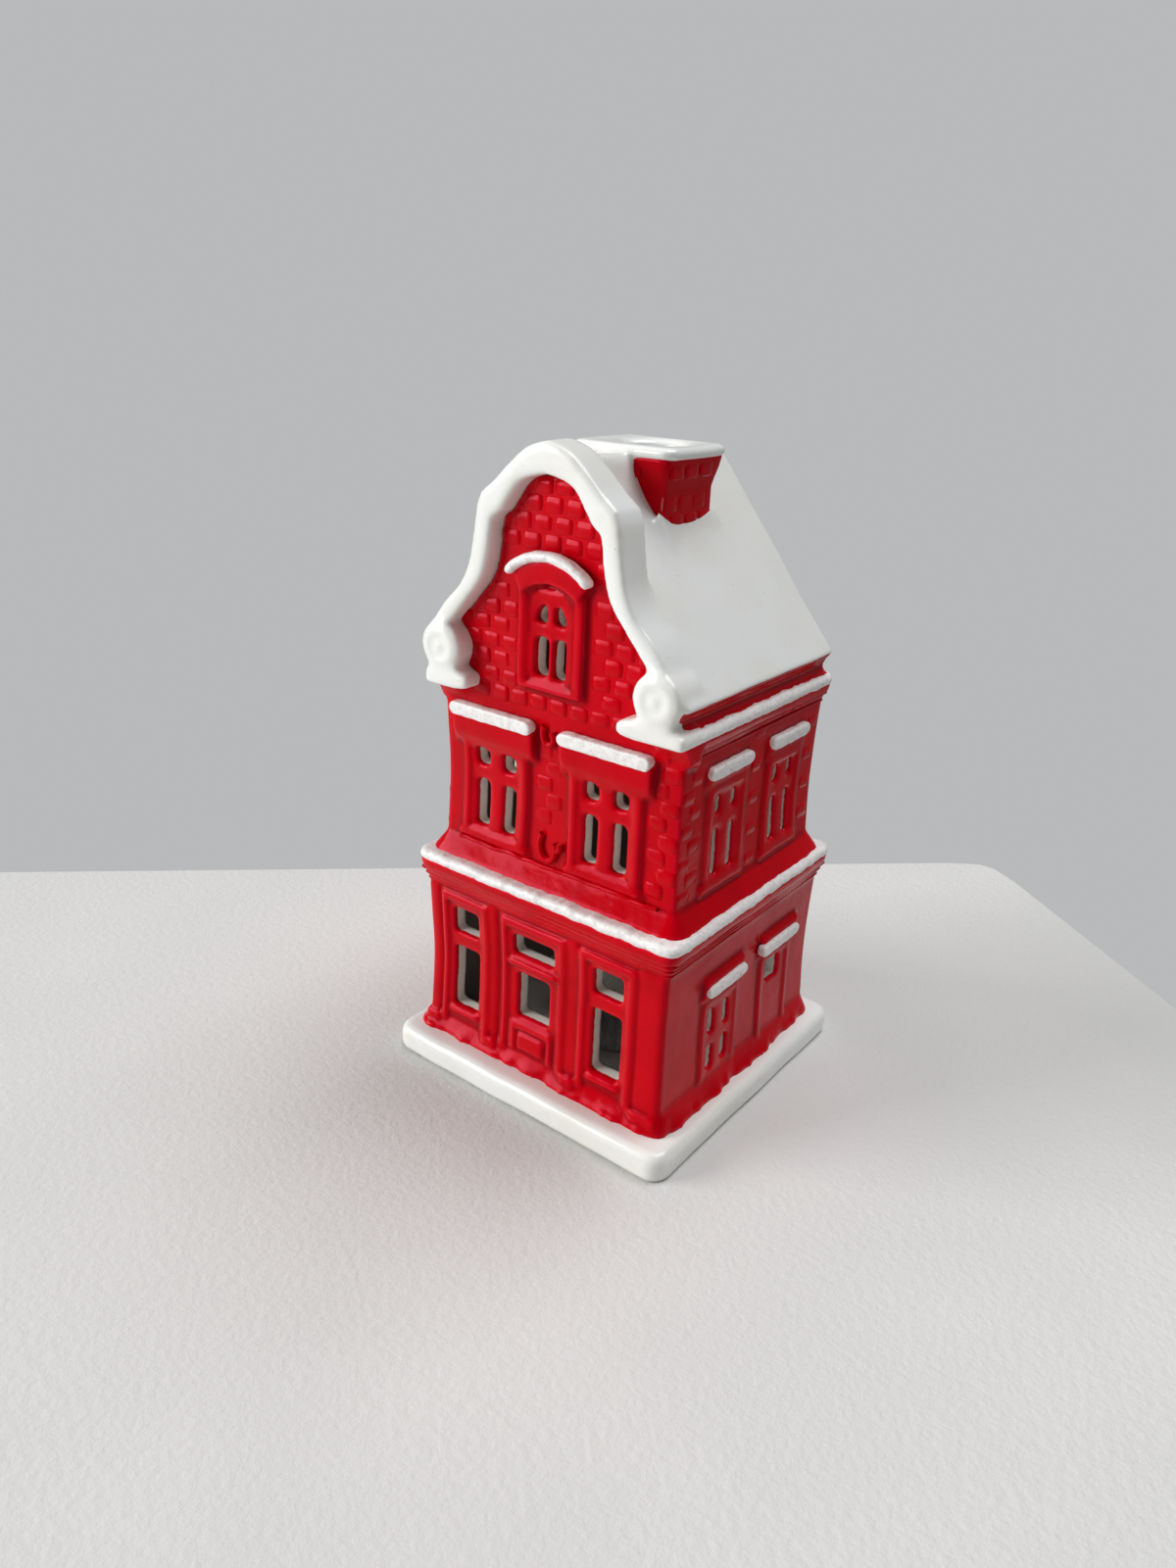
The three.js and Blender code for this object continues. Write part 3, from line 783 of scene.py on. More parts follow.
    def dome(self, centre: Point, radii: Point, rings: int = 8, sides: int = 14) -> None:
        """Adds an ellipsoid, such as a mound of snow.

        Args:
            centre: its middle.
            radii: its radii along X, Y and Z.
            rings: how many steps go up it.
            sides: how many steps go round it.
        """
        angles = [2 * math.pi * k / sides for k in range(sides)]
        loops = []
        for i in range(rings + 1):
            lift = math.pi * (0.02 + 0.96 * i / rings) - math.pi / 2
            wide = (radii[0] * math.cos(lift), radii[1] * math.cos(lift))
            height = centre[2] + radii[2] * math.sin(lift)
            loops.append([(x, y, height) for x, y in arc(centre[:2], wide, angles)])
        self.loft(loops)

    def cast(
        self, name: str, pitch: float, soften: int, depth: Shift = skin_deep, slump: Shift = unmoved,
        wave: tuple[float, float, float] = HAND_WORK,
    ) -> bpy.types.Object:
        """Casts the shells into one body.

        Args:
            name: the piece's name.
            pitch: the size of its faces, in millimetres.
            soften: how many rounds its edges are softened by.
            depth: for points before they slump, how far each is inside the outer skin.
            slump: where each point goes as the soft body dries.
            wave: size, reach and seed of the unevenness of the hand-finished surface.

        Returns:
            The piece, in metres, at the origin.
        """
        mesh = bpy.data.meshes.new(name)
        mesh.from_pydata(self.points, [], self.faces)
        obj = put_in_scene(name, mesh)
        union = obj.modifiers.new("Cast", "REMESH")
        union.mode = "VOXEL"
        union.voxel_size = pitch
        mesh = settle(obj)
        edges = np.empty(len(mesh.edges) * 2, np.int32)
        mesh.edges.foreach_get("vertices", edges)
        edges = edges.reshape(-1, 2)
        co = relax(read_points(mesh), edges, soften)
        write_values(mesh, "depth", depth(co))
        co = waver(slump(co), *wave)
        write_points(mesh, co)
        normals = np.empty(len(mesh.vertices) * 3, np.float32)
        mesh.vertex_normals.foreach_get("vector", normals)
        # crest: how proud each point is of its softened surroundings; the glazes paint shade into hollows and
        # a highlight onto crests from it
        proud = ((co - relax(co, edges, CREST_ROUNDS)) * normals.reshape(-1, 3)).sum(axis=1)
        write_values(mesh, "crest", np.clip(proud / CREST_HEIGHT, -1.0, 1.0))
        return obj


# ---------------------------------------------------------------- geometry trees
def new_geometry_tree(name: str, numbers: dict[str, float]) -> tuple[bpy.types.NodeTree, Adder, Sequence]:
    """Starts a geometry tree with a geometry in and out, a material input and named number inputs.

    Args:
        name: the tree's name.
        numbers: the number inputs and their defaults.

    Returns:
        The tree, the function that adds a node to it, and its inputs' sockets.
    """
    tree = bpy.data.node_groups.new(name, "GeometryNodeTree")
    tree.interface.new_socket("Geometry", in_out="OUTPUT", socket_type="NodeSocketGeometry")
    tree.interface.new_socket("Geometry", in_out="INPUT", socket_type="NodeSocketGeometry")
    tree.interface.new_socket("Glaze", in_out="INPUT", socket_type="NodeSocketMaterial")
    for label, value in numbers.items():
        socket = tree.interface.new_socket(label, in_out="INPUT", socket_type="NodeSocketFloat")
        socket.default_value = value
    add = partial(add_node, tree)
    return tree, add, add("NodeGroupInput").node.outputs


def end_tree(add: Adder, geometry: bpy.types.NodeSocket, glaze: bpy.types.NodeSocket) -> None:
    """Ends a tree: instances are made real, shaded smooth and given the material.

    Args:
        add: adds a node to the tree.
        geometry: what the tree has made.
        glaze: the tree's material input.
    """
    real = add("GeometryNodeRealizeInstances", {"Geometry": geometry})
    smooth = add("GeometryNodeSetShadeSmooth", {"Geometry": real})
    painted = add("GeometryNodeSetMaterial", {"Geometry": smooth, "Material": glaze})
    add("NodeGroupOutput", {0: painted}, None)


def grow(obj: bpy.types.Object, tree: bpy.types.NodeTree, finish: Finish, **numbers: float) -> bpy.types.Mesh:
    """Runs a geometry tree on an object and keeps the result as plain mesh.

    Args:
        obj: the object whose mesh feeds the tree.
        tree: the tree.
        finish: the material that the tree sets.
        numbers: values for the named inputs, with _ for a space.

    Returns:
        The object's new mesh.
    """
    modifier = obj.modifiers.new(tree.name, "NODES")
    modifier.node_group = tree
    sockets = {item.name: item.identifier for item in tree.interface.items_tree if item.in_out == "INPUT"}
    modifier[sockets["Glaze"]] = finish.material
    for label, value in numbers.items():
        modifier[sockets[label.replace("_", " ")]] = float(value)
    return settle(obj)


def running_bond_tree() -> bpy.types.NodeTree:
    """Bricks in running bond over flat patches: each is a soft pillow, slightly turned and tilted.

    Returns:
        The tree.
    """
    numbers = {"Pitch": 7.5, "Course": 4.0, "Joint": 0.8, "Relief": 0.5, "Tilt": 0.03, "Seed": 1.0}
    tree, add, given = new_geometry_tree("running_bond", numbers)
    box = add("GeometryNodeBoundBox", {"Geometry": given["Geometry"]}).node.outputs
    step = add("ShaderNodeCombineXYZ", {"X": given["Pitch"], "Y": given["Course"], "Z": 1.0})
    reach = add("ShaderNodeVectorMath", {0: box["Max"], 1: box["Min"]}, operation="SUBTRACT")
    steps = add("ShaderNodeVectorMath", {0: reach, 1: step}, operation="DIVIDE")
    whole = add("ShaderNodeVectorMath", {0: steps}, operation="CEIL")
    gaps = add("ShaderNodeVectorMath", {0: whole, 1: (1.0, 0.0, 0.0)}, operation="ADD")
    counts = add("ShaderNodeVectorMath", {0: gaps, 1: (1.0, 1.0, 1.0)}, operation="ADD")
    spread = add("ShaderNodeVectorMath", {0: gaps, 1: step}, operation="MULTIPLY")
    width, height, _ = add("ShaderNodeSeparateXYZ", {0: spread}).node.outputs
    columns, rows, _ = add("ShaderNodeSeparateXYZ", {0: counts}).node.outputs
    sizes = {"Size X": width, "Size Y": height, "Vertices X": columns, "Vertices Y": rows}
    grid = add("GeometryNodeMeshGrid", sizes)

    # every second course is pushed back by half a brick
    row = add("ShaderNodeMath", {0: add("GeometryNodeInputIndex"), 1: rows}, operation="MODULO")
    odd = add("ShaderNodeMath", {0: row, 1: 2.0}, operation="MODULO")
    back = add("ShaderNodeMath", {0: odd, 1: -1.0}, operation="MULTIPLY")
    halves = add("ShaderNodeCombineXYZ", {"X": back, "Y": 1.0})
    half_step = add("ShaderNodeVectorMath", {0: step, "Scale": 0.5}, operation="SCALE")
    inputs = {0: spread, 1: (0.5, 0.5, 0.5), 2: box["Min"]}
    middle = add("ShaderNodeVectorMath", inputs, operation="MULTIPLY_ADD")
    offset = add("ShaderNodeVectorMath", {0: half_step, 1: halves, 2: middle}, operation="MULTIPLY_ADD")
    places = add("GeometryNodeSetPosition", {"Geometry": grid, "Offset": offset})
    away = add("GeometryNodeProximity", {0: given["Geometry"]}, "Distance", target_element="FACES")
    astray = add("FunctionNodeCompare", {0: away, 1: 0.6}, operation="GREATER_THAN")
    kept = add("GeometryNodeDeleteGeometry", {0: places, 1: astray}, domain="POINT")

    size = add("ShaderNodeCombineXYZ", {
        "X": add("ShaderNodeMath", {0: given["Pitch"], 1: given["Joint"]}, operation="SUBTRACT"),
        "Y": add("ShaderNodeMath", {0: given["Course"], 1: given["Joint"]}, operation="SUBTRACT"),
        "Z": add("ShaderNodeMath", {0: given["Relief"], 1: 2.6}, operation="MULTIPLY"),
    })
    brick = add("GeometryNodeMeshCube", {"Size": size, "Vertices X": 3, "Vertices Y": 2, "Vertices Z": 2})
    pillow = add("GeometryNodeSubdivisionSurface", {"Mesh": brick, "Level": 1, "Edge Crease": 0.6})
    most = add("ShaderNodeCombineXYZ", {"X": given["Tilt"], "Y": given["Tilt"], "Z": given["Tilt"]})
    least = add("ShaderNodeVectorMath", {0: most, "Scale": -1.0}, operation="SCALE")
    inputs = {0: least, 1: most, "Seed": given["Seed"]}
    turned = add("FunctionNodeRandomValue", inputs, data_type="FLOAT_VECTOR")
    next_seed = add("ShaderNodeMath", {0: given["Seed"], 1: 7.0}, operation="ADD")
    inputs = {0: (0.95, 0.92, 0.7), 1: (1.03, 1.05, 1.15), "Seed": next_seed}
    scaled = add("FunctionNodeRandomValue", inputs, data_type="FLOAT_VECTOR")
    inputs = {"Points": kept, "Instance": pillow, "Rotation": turned, "Scale": scaled}
    end_tree(add, add("GeometryNodeInstanceOnPoints", inputs), given["Glaze"])
    return tree


def bead_tree() -> bpy.types.NodeTree:
    """A round bead swept along every edge path of a mesh, with closed ends.

    Returns:
        The tree.
    """
    tree, add, given = new_geometry_tree("bead_along_path", {"Radius": 0.4, "Step": 0.8})
    way = add("GeometryNodeMeshToCurve", {"Mesh": given["Geometry"]})
    even = add("GeometryNodeResampleCurve", {0: way, "Length": given["Step"]}, mode="LENGTH")
    ring = add("GeometryNodeCurvePrimitiveCircle", {"Resolution": 8, "Radius": given["Radius"]})
    bead = add("GeometryNodeCurveToMesh", {"Curve": even, "Profile Curve": ring, "Fill Caps": True})
    end_tree(add, bead, given["Glaze"])
    return tree


def flute_tree() -> bpy.types.NodeTree:
    """Upright flutes pressed into a turned cup: points move in and out by the angle round its axis.

    Returns:
        The tree.
    """
    numbers = {"Count": 44.0, "Depth": 0.3, "Foot": 0.6, "Rim": 13.0, "Fade": 1.5, "Bare": 10.0}
    tree, add, given = new_geometry_tree("pressed_flutes", numbers)
    x, y, z = add("ShaderNodeSeparateXYZ", {0: add("GeometryNodeInputPosition")}).node.outputs
    angle = add("ShaderNodeMath", {0: y, 1: x}, operation="ARCTAN2")
    turns = add("ShaderNodeMath", {0: angle, 1: given["Count"]}, operation="MULTIPLY")
    wave = add("ShaderNodeMath", {0: turns}, operation="SINE")
    dip = add("ShaderNodeMath", {0: wave, 1: 0.5, 2: -0.5}, operation="MULTIPLY_ADD")
    low = add("ShaderNodeMath", {0: given["Foot"], 1: given["Fade"]}, operation="ADD")
    high = add("ShaderNodeMath", {0: given["Rim"], 1: given["Fade"]}, operation="SUBTRACT")
    rise = add("ShaderNodeMapRange", {"Value": z, "From Min": given["Foot"], "From Max": low})
    fall = add("ShaderNodeMapRange", {"Value": z, "From Min": given["Rim"], "From Max": high})
    fade = add("ShaderNodeMath", {0: rise, 1: fall}, operation="MULTIPLY")
    push = add("ShaderNodeMath", {0: dip, 1: fade}, operation="MULTIPLY")
    reach = add("ShaderNodeMath", {0: push, 1: given["Depth"]}, operation="MULTIPLY")
    flat = add("ShaderNodeCombineXYZ", {"X": x, "Y": y})
    outward = add("ShaderNodeVectorMath", {0: flat}, operation="NORMALIZE")
    offset = add("ShaderNodeVectorMath", {0: outward, "Scale": reach}, operation="SCALE")
    wide = add("ShaderNodeVectorMath", {0: flat}, "Value", operation="LENGTH")
    side = add("FunctionNodeCompare", {0: wide, 1: given["Bare"]}, operation="GREATER_THAN")
    inputs = {"Geometry": given["Geometry"], "Selection": side, "Offset": offset}
    end_tree(add, add("GeometryNodeSetPosition", inputs), given["Glaze"])
    return tree


# ---------------------------------------------------------------- walls' shared pieces
@dataclass(frozen=True)
class Bay:
    """A framed window or door on a wall: its middle, half width, foot, head and lights.

    Each light is its offset from the middle, its width, and its lower and upper edges.
    """

    facing: Facing
    middle: float
    half: float
    foot: float
    head: float
    lights: tuple[tuple[float, float, float, float], ...]

    @property
    def rect(self) -> Rect:
        """The frame's rectangle."""
        return (self.middle - self.half, self.middle + self.half, self.foot, self.head)

    @property
    def holes(self) -> list[Rect]:
        """The lights, a little large, since the lips round inwards as they soften.

        Returns:
            Their rectangles.
        """
        lip = 0.15
        return [
            (self.middle + at - w / 2 - lip, self.middle + at + w / 2 + lip, v0 - lip, v1 + lip)
            for at, w, v0, v1 in self.lights
        ]


@dataclass(frozen=True)
class Frame:
    """How a bay's frame stands out from the wall: a pierced panel with a raised border."""

    panel: float = 1.0
    border: float = 1.9
    width: float = 1.5

    def lay_up(self, mould: Mould, bay: Bay, face: float, with_foot: bool = False) -> None:
        """Adds the frame to a mould.

        Args:
            mould: where it goes.
            bay: the bay that it frames.
            face: the wall's face, out from the middle.
            with_foot: whether the border runs along the foot too.
        """
        u0, u1, v0, v1 = bay.rect
        back = face - LAP
        mould.pierced(bay.facing, bay.rect, back, face + self.panel, bay.holes)
        for left in (u0, u1 - self.width):
            mould.block(bay.facing, (left, left + self.width, v0, v1), back, face + self.border)
        mould.block(bay.facing, (u0, u1, v1 - self.width, v1), back, face + self.border)
        if with_foot:
            mould.block(bay.facing, (u0, u1, v0, v0 + self.width), back, face + self.border)


@dataclass(frozen=True)
class SnowBar:
    """A bar of snow with round ends, lying on a hood over a window."""

    node: str
    facing: Facing
    middle: float
    half: float
    low: float
    high: float
    face: float
    out: float

    def build(self, slump: Shift) -> bpy.types.Object:
        """Casts the bar on its wall.

        Args:
            slump: how the wall behind it has slumped.

        Returns:
            The piece.
        """
        mould = Mould()
        r = (self.high - self.low) / 2
        ends = []
        for side, start in ((1, -math.pi / 2), (-1, math.pi / 2)):
            centre = (self.middle + side * (self.half - r), self.low + r)
            ends += arc(centre, (r, r), np.linspace(start, start + math.pi, 9))
        mould.prism(self.facing, ends, self.face - 0.8, self.face + self.out)
        bar = mould.cast(f"snow_on_{self.node}", 0.34, 7, slump=slump, wave=(2.0, 0.14, 11.0 + self.middle))
        return dress(bar, Finish.SNOW, HOUSE, [self.node])


@dataclass
class Brickwork:
    """Bricks in running bond, raised softly from the walls."""

    tree: bpy.types.NodeTree
    pitch: float = 5.7
    course: float = 3.95
    joint: float = 0.2

    def lay(
        self, name: str, facing: Facing, face: float, patches: Sequence[Rect], slump: Shift = unmoved,
        relief: float = 0.5, seed: int = 1, lean: Shift = unmoved,
    ) -> bpy.types.Object:
        """Lays bricks over rectangles of a wall.

        Args:
            name: the piece's name.
            facing: the wall.
            face: the wall's face, out from the middle.
            patches: the rectangles.
            slump: how the wall has slumped.
            relief: how far the bricks stand out.
            seed: which small unevenness they get.
            lean: a last move of the points, in millimetres.

        Returns:
            The piece, in metres.
        """
        points, faces = [], []
        for u0, u1, v0, v1 in patches:
            start = len(points)
            points += [(u0, v0, 0), (u1, v0, 0), (u1, v1, 0), (u0, v1, 0)]
            faces.append(tuple(range(start, start + 4)))
        mesh = bpy.data.meshes.new(name)
        mesh.from_pydata(points, [], faces)
        obj = put_in_scene(name, mesh)
        mesh = grow(
            obj, self.tree, Finish.RED,
            Pitch=self.pitch, Course=self.course, Joint=self.joint, Relief=relief, Tilt=0.022, Seed=seed,
        )
        flat = read_points(mesh)
        co = np.array([facing.at(u, face + out, v) for u, v, out in flat]).reshape(-1, 3)
        write_points(mesh, lean(waver(slump(co), *HAND_WORK)))
        work = bmesh.new()
        work.from_mesh(mesh)
        bmesh.ops.recalc_face_normals(work, faces=work.faces)
        work.to_mesh(mesh)
        work.free()
        write_values(mesh, "depth", np.zeros(len(flat)))
        # the bricks' lower edges take the glaze's painted recess shade and their tops a painted highlight
        write_values(mesh, "crest", np.clip((flat[:, 2] / relief - 0.55) * 0.5, -0.6, 0.3))
        return obj


def join_pieces(name: str, parts: Sequence[bpy.types.Object]) -> bpy.types.Object:
    """Joins objects that share a finish into one piece.

    Args:
        name: the piece's name.
        parts: the objects, at the origin.

    Returns:
        The joined object.
    """
    first = parts[0]
    with bpy.context.temp_override(active_object=first, object=first, selected_editable_objects=list(parts)):
        bpy.ops.object.join()
    first.name = name
    first.data.name = name
    return first


# ---------------------------------------------------------------- sub-assemblies
@dataclass
class Slab:
    """The snow-covered slab that the house stands on."""

    corner: float = 4.7
    chamfer: float = 1.9
    node: str = "base_slab"

    def build(self) -> None:
        """Casts the slab; its underside is raw where it was wiped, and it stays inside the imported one."""
        low, high = node_box(self.node)
        reach_x, reach_y = high[0] - self.corner, high[1] - self.corner
        c = self.chamfer
        foot, top = low[2], high[2]
        levels = [(foot, 0.5), (foot + 0.5, 0.0), (top - c, 0.0), (top - 0.3 * c, 0.35 * c), (top, c)]
        rings = []
        for z, inset in levels:
            outline = round_corners(reach_x, reach_y, self.corner - inset, 8)
            rings.append([(x, y, z) for x, y in outline])
        mould = Mould()
        mould.loft(rings)
        slab = mould.cast(
            self.node + "_snow", 0.62, 7, depth=lambda co: (0.25 - co[:, 2]) * 30, wave=(13.0, 0.25, 1.7),
            slump=lambda co: np.clip(co, low, high),
        )
        write_points(slab.data, np.clip(read_points(slab.data) / MM, low, high))
        dress(slab, Finish.WHITE, HOUSE, [self.node])


@dataclass
class Storey:
    """The four walls of a floor, which the cast body draws in at mid height."""

    half_x: float
    half_y: float
    waist: float

    def draw_in(self, co: np.ndarray, share: np.ndarray) -> np.ndarray:
        """Draws points in towards the middle.

        Args:
            co: the points.
            share: for each, how much of the waist it feels.

        Returns:
            The points after it.
        """
        inward = self.waist * share
        moved = co.copy()
        moved[:, 0] *= 1.0 - inward / self.half_x
        moved[:, 1] *= 1.0 - inward / self.half_y
        return moved

    def depth(self, co: np.ndarray) -> np.ndarray:
        """How far points are inside the walls' faces."""
        return np.minimum(self.half_x - np.abs(co[:, 0]), self.half_y - np.abs(co[:, 1]))

    def face(self, facing: Facing) -> float:
        """A wall's face, out from the middle."""
        return self.half_y if facing in (Facing.STREET, Facing.REAR) else self.half_x


@dataclass
class GroundStorey(Storey):
    """The smooth ground floor: walls with pierced windows, a street door and the doorway behind."""

    half_x: float = 36.5
    half_y: float = 34.5
    waist: float = 0.6
    foot: float = 6.4
    top: float = 56.0
    axis: float = -1.8
    bay: float = 22.3
    doorway_half: float = 21.5
    doorway_spring: float = 26.0
    doorway_crown: float = 37.0
    run_out: float = 2.6  # how far the red runs out over the slab
    relief: Frame = Frame(0.5, 1.2, 1.5)
    side_relief: Frame = Frame(0.3, 0.8, 1.2)
    bays: list[Bay] = field(default_factory=list)

    def __post_init__(self) -> None:
        """Sets out the bays."""
        tall = ((0.0, 8.0, 37.0, 43.6), (0.0, 8.0, 15.7, 32.8))
        door = ((0.0, 12.4, 38.3, 43.4), (0.0, 9.8, 21.1, 33.0))
        pair = tuple((at, 2.2, v0, v1) for at in (-3.2, 3.2) for v0, v1 in ((24.0, 30.5), (14.0, 20.3)))
        self.bays = [
            Bay(Facing.STREET, self.axis - self.bay, 7.7, 9.0, 47.4, tall),
            Bay(Facing.STREET, self.axis + self.bay, 7.7, 9.0, 47.4, tall),
            Bay(Facing.STREET, self.axis, 9.9, 9.0, 47.4, door),
        ]
        for side in (Facing.LEFT, Facing.RIGHT):
            self.bays.append(Bay(side, -10.4, 8.0, 12.5, 34.0, pair))
            self.bays.append(Bay(side, 16.3, 7.3, 11.0, 34.0, ((-0.6, 6.0, 26.0, 32.0),)))

    def slump(self, co: np.ndarray) -> np.ndarray:
        """Draws the walls in a little at mid height, as the cast body slumped."""
        return self.draw_in(co, np.sin(np.pi * np.clip((co[:, 2] - 10.0) / 40.0, 0.0, 1.0)))

    def skirt(self, along: float) -> Outline:
        """The section of the foot, where the glaze has run out over the snow in a wavy edge.

        Args:
            along: how far along the foot it is.

        Returns:
            Pairs of out and height.
        """
        run = self.run_out + 0.6 * ripple(along, 6.0, 4.2) + 0.45 * ripple(along, 2.6, 9.1)
        return [
            (-WALL, self.foot), (run, self.foot), (run, 7.6), (0.35 * run + 1.1, 8.3), (1.2, 9.7),
            (0.4, 11.6), (-0.5, 14.0), (-WALL, 14.0),
        ]

    def lay_up_walls(self, mould: Mould) -> None:
        """Adds the four walls, the rear one with its arched doorway.

        Args:
            mould: where they go.
        """
        for facing in (Facing.STREET, Facing.LEFT, Facing.RIGHT):
            face = self.face(facing)
            across = self.half_x if facing is Facing.STREET else self.half_y
            holes = [hole for bay in self.bays if bay.facing is facing for hole in bay.holes]
            mould.pierced(facing, (-across, across, self.foot, self.top), face - WALL, face, holes)
        radii = (self.doorway_half, self.doorway_crown - self.doorway_spring)
        arch = arc((0.0, self.doorway_spring), radii, np.linspace(0, math.pi, 25))
        wall = [
            (-self.half_x, self.foot), (-self.doorway_half, self.foot), *arch[::-1],
            (self.doorway_half, self.foot), (self.half_x, self.foot), (self.half_x, self.top),
            (-self.half_x, self.top),
        ]
        mould.prism(Facing.REAR, wall, self.half_y - WALL, self.half_y)

    def lay_up_skirt(self, mould: Mould) -> None:
        """Adds the foot on three sides, and behind up to the doorway.

        Args:
            mould: where it goes.
        """
        whole = Mould()
        whole.around(self.half_x, self.half_y, self.skirt, corner=1.2, step=0.9)
        size = len(self.skirt(0.0))
        count = len(whole.points) // size
        stations = [whole.points[i * size : (i + 1) * size] for i in range(count)]
        clear = [abs(ring[0][0]) > self.doorway_half or ring[0][1] < 0 for ring in stations]
        first = clear.index(False)
        last = count - clear[::-1].index(False)
        mould.loft([*stations[last:], *stations[:first]])

    def lay_up_street_front(self, mould: Mould) -> None:
        """Adds the pilasters, the door's panels and the window aprons.

        Args:
            mould: where they go.
        """
        face, back = self.half_y, self.half_y - LAP
        for u, half in ((-34.6, 1.6), (-15.4, 1.4), (10.1, 1.4), (32.4, 3.0)):
            mould.block(Facing.STREET, (u - half, u + half, 8.0, 48.0), back, face + 0.7)
            mould.block(Facing.STREET, (u - half - 0.5, u + half + 0.5, 8.0, 11.0), back, face + 1.8)
        left, right = self.axis - 6.4, self.axis + 6.4
        for u0, u1, v0 in ((left, right, 18.0), (left, left + 1.1, 11.5), (right - 1.1, right, 11.5)):
            mould.block(Facing.STREET, (u0, u1, v0, 19.0), back, face + 1.4)
        mould.block(Facing.STREET, (self.axis - 3.9, self.axis + 3.9, 12.2, 16.3), back, face + 1.5)
        mould.block(Facing.STREET, (self.axis - 7.4, self.axis + 7.4, 35.3, 36.6), back, face + 1.5)
        for middle in (self.axis - self.bay, self.axis + self.bay):
            mould.block(Facing.STREET, (middle - 4.6, middle + 4.6, 13.6, 14.6), back, face + 1.4)

    def build(self) -> None:
        """Casts the storey in one piece with the moulding under the string course."""
        mould = Mould()
        self.lay_up_walls(mould)
        self.lay_up_skirt(mould)
        self.lay_up_street_front(mould)
        for bay in self.bays:
            if bay.facing is Facing.STREET:
                self.relief.lay_up(mould, bay, self.half_y)
                continue
            x = self.half_x
            self.side_relief.lay_up(mould, bay, x)
            hood = [(x - LAP, 34.0), (x + 1.2, 35.6), (x + 1.6, 37.2), (x + 1.6, 40.2), (x - LAP, 42.4)]
            mould.rail(bay.facing, bay.middle - 9.0, bay.middle + 9.0, hood)
        cove = [(-WALL, 47.0), (0.0, 47.6), (0.5, 49.6), (1.3, 51.6), (2.2, 53.2), (2.4, 55.4), (-WALL, 55.4)]
        mould.around(self.half_x, self.half_y, lambda along: cove, step=3.0)
        storey = mould.cast("ground_storey", 0.57, 2, depth=self.depth, slump=self.slump)
        walls = [f"ground_wall_{side}" for side in ("front", "rear", "left", "right")]
        frames = ["ground_window_left_surround", "ground_window_right_surround", "door_surround", "door_leaf"]
        sides = [
            f"ground_{side}_{what}_surround" for side in ("left", "right") for what in ("window", "side_door")
        ]
        dress(storey, Finish.RED, HOUSE, [*walls, *frames, *sides, "string_course"])
        for facing, side in ((Facing.LEFT, "left"), (Facing.RIGHT, "right")):
            for what, middle, half in (("window", -10.6, 9.0), ("side_door", 15.2, 9.7)):
                node = f"ground_{side}_{what}_hood"
                bar = SnowBar(node, facing, middle, half - 0.3, 36.2, 39.5, self.half_x + 1.0, 1.6)
                bar.build(self.slump)


@dataclass
class SnowBand:
    """A ledge of snow round the house, squeezed on by hand, with chalky uneven edges."""

    node: str
    half_x: float
    half_y: float
    low: float
    high: float
    out: float
    quarters: int = 4  # 3 leaves the street side bare

    def section(self, along: float) -> Outline:
        """The band's section at a distance along it.

        Args:
            along: the distance.

        Returns:
            Pairs of out and height.
        """
        low = self.low + 0.14 * ripple(along, 3.1, 1.3) + 0.12 * ripple(along, 1.1, 5.0)
        high = self.high + 0.14 * ripple(along, 3.6, 2.2) + 0.12 * ripple(along, 1.2, 6.0)
        out = self.out + 0.12 * ripple(along, 4.1, 3.3)
        return [
            (-1.5, low), (out - 0.5, low), (out, low + 0.9),
            (out, high - 1.0), (out - 0.8, high), (-1.5, high),
        ]

    def build(self) -> None:
        """Casts the band."""
        mould = Mould()
        mould.around(self.half_x, self.half_y, self.section, corner=1.0, step=0.6, quarters=self.quarters)
        band = mould.cast(self.node + "_band", 0.4, 3, wave=(1.7, 0.12, 5.5))
        dress(band, Finish.SNOW, HOUSE, [self.node])


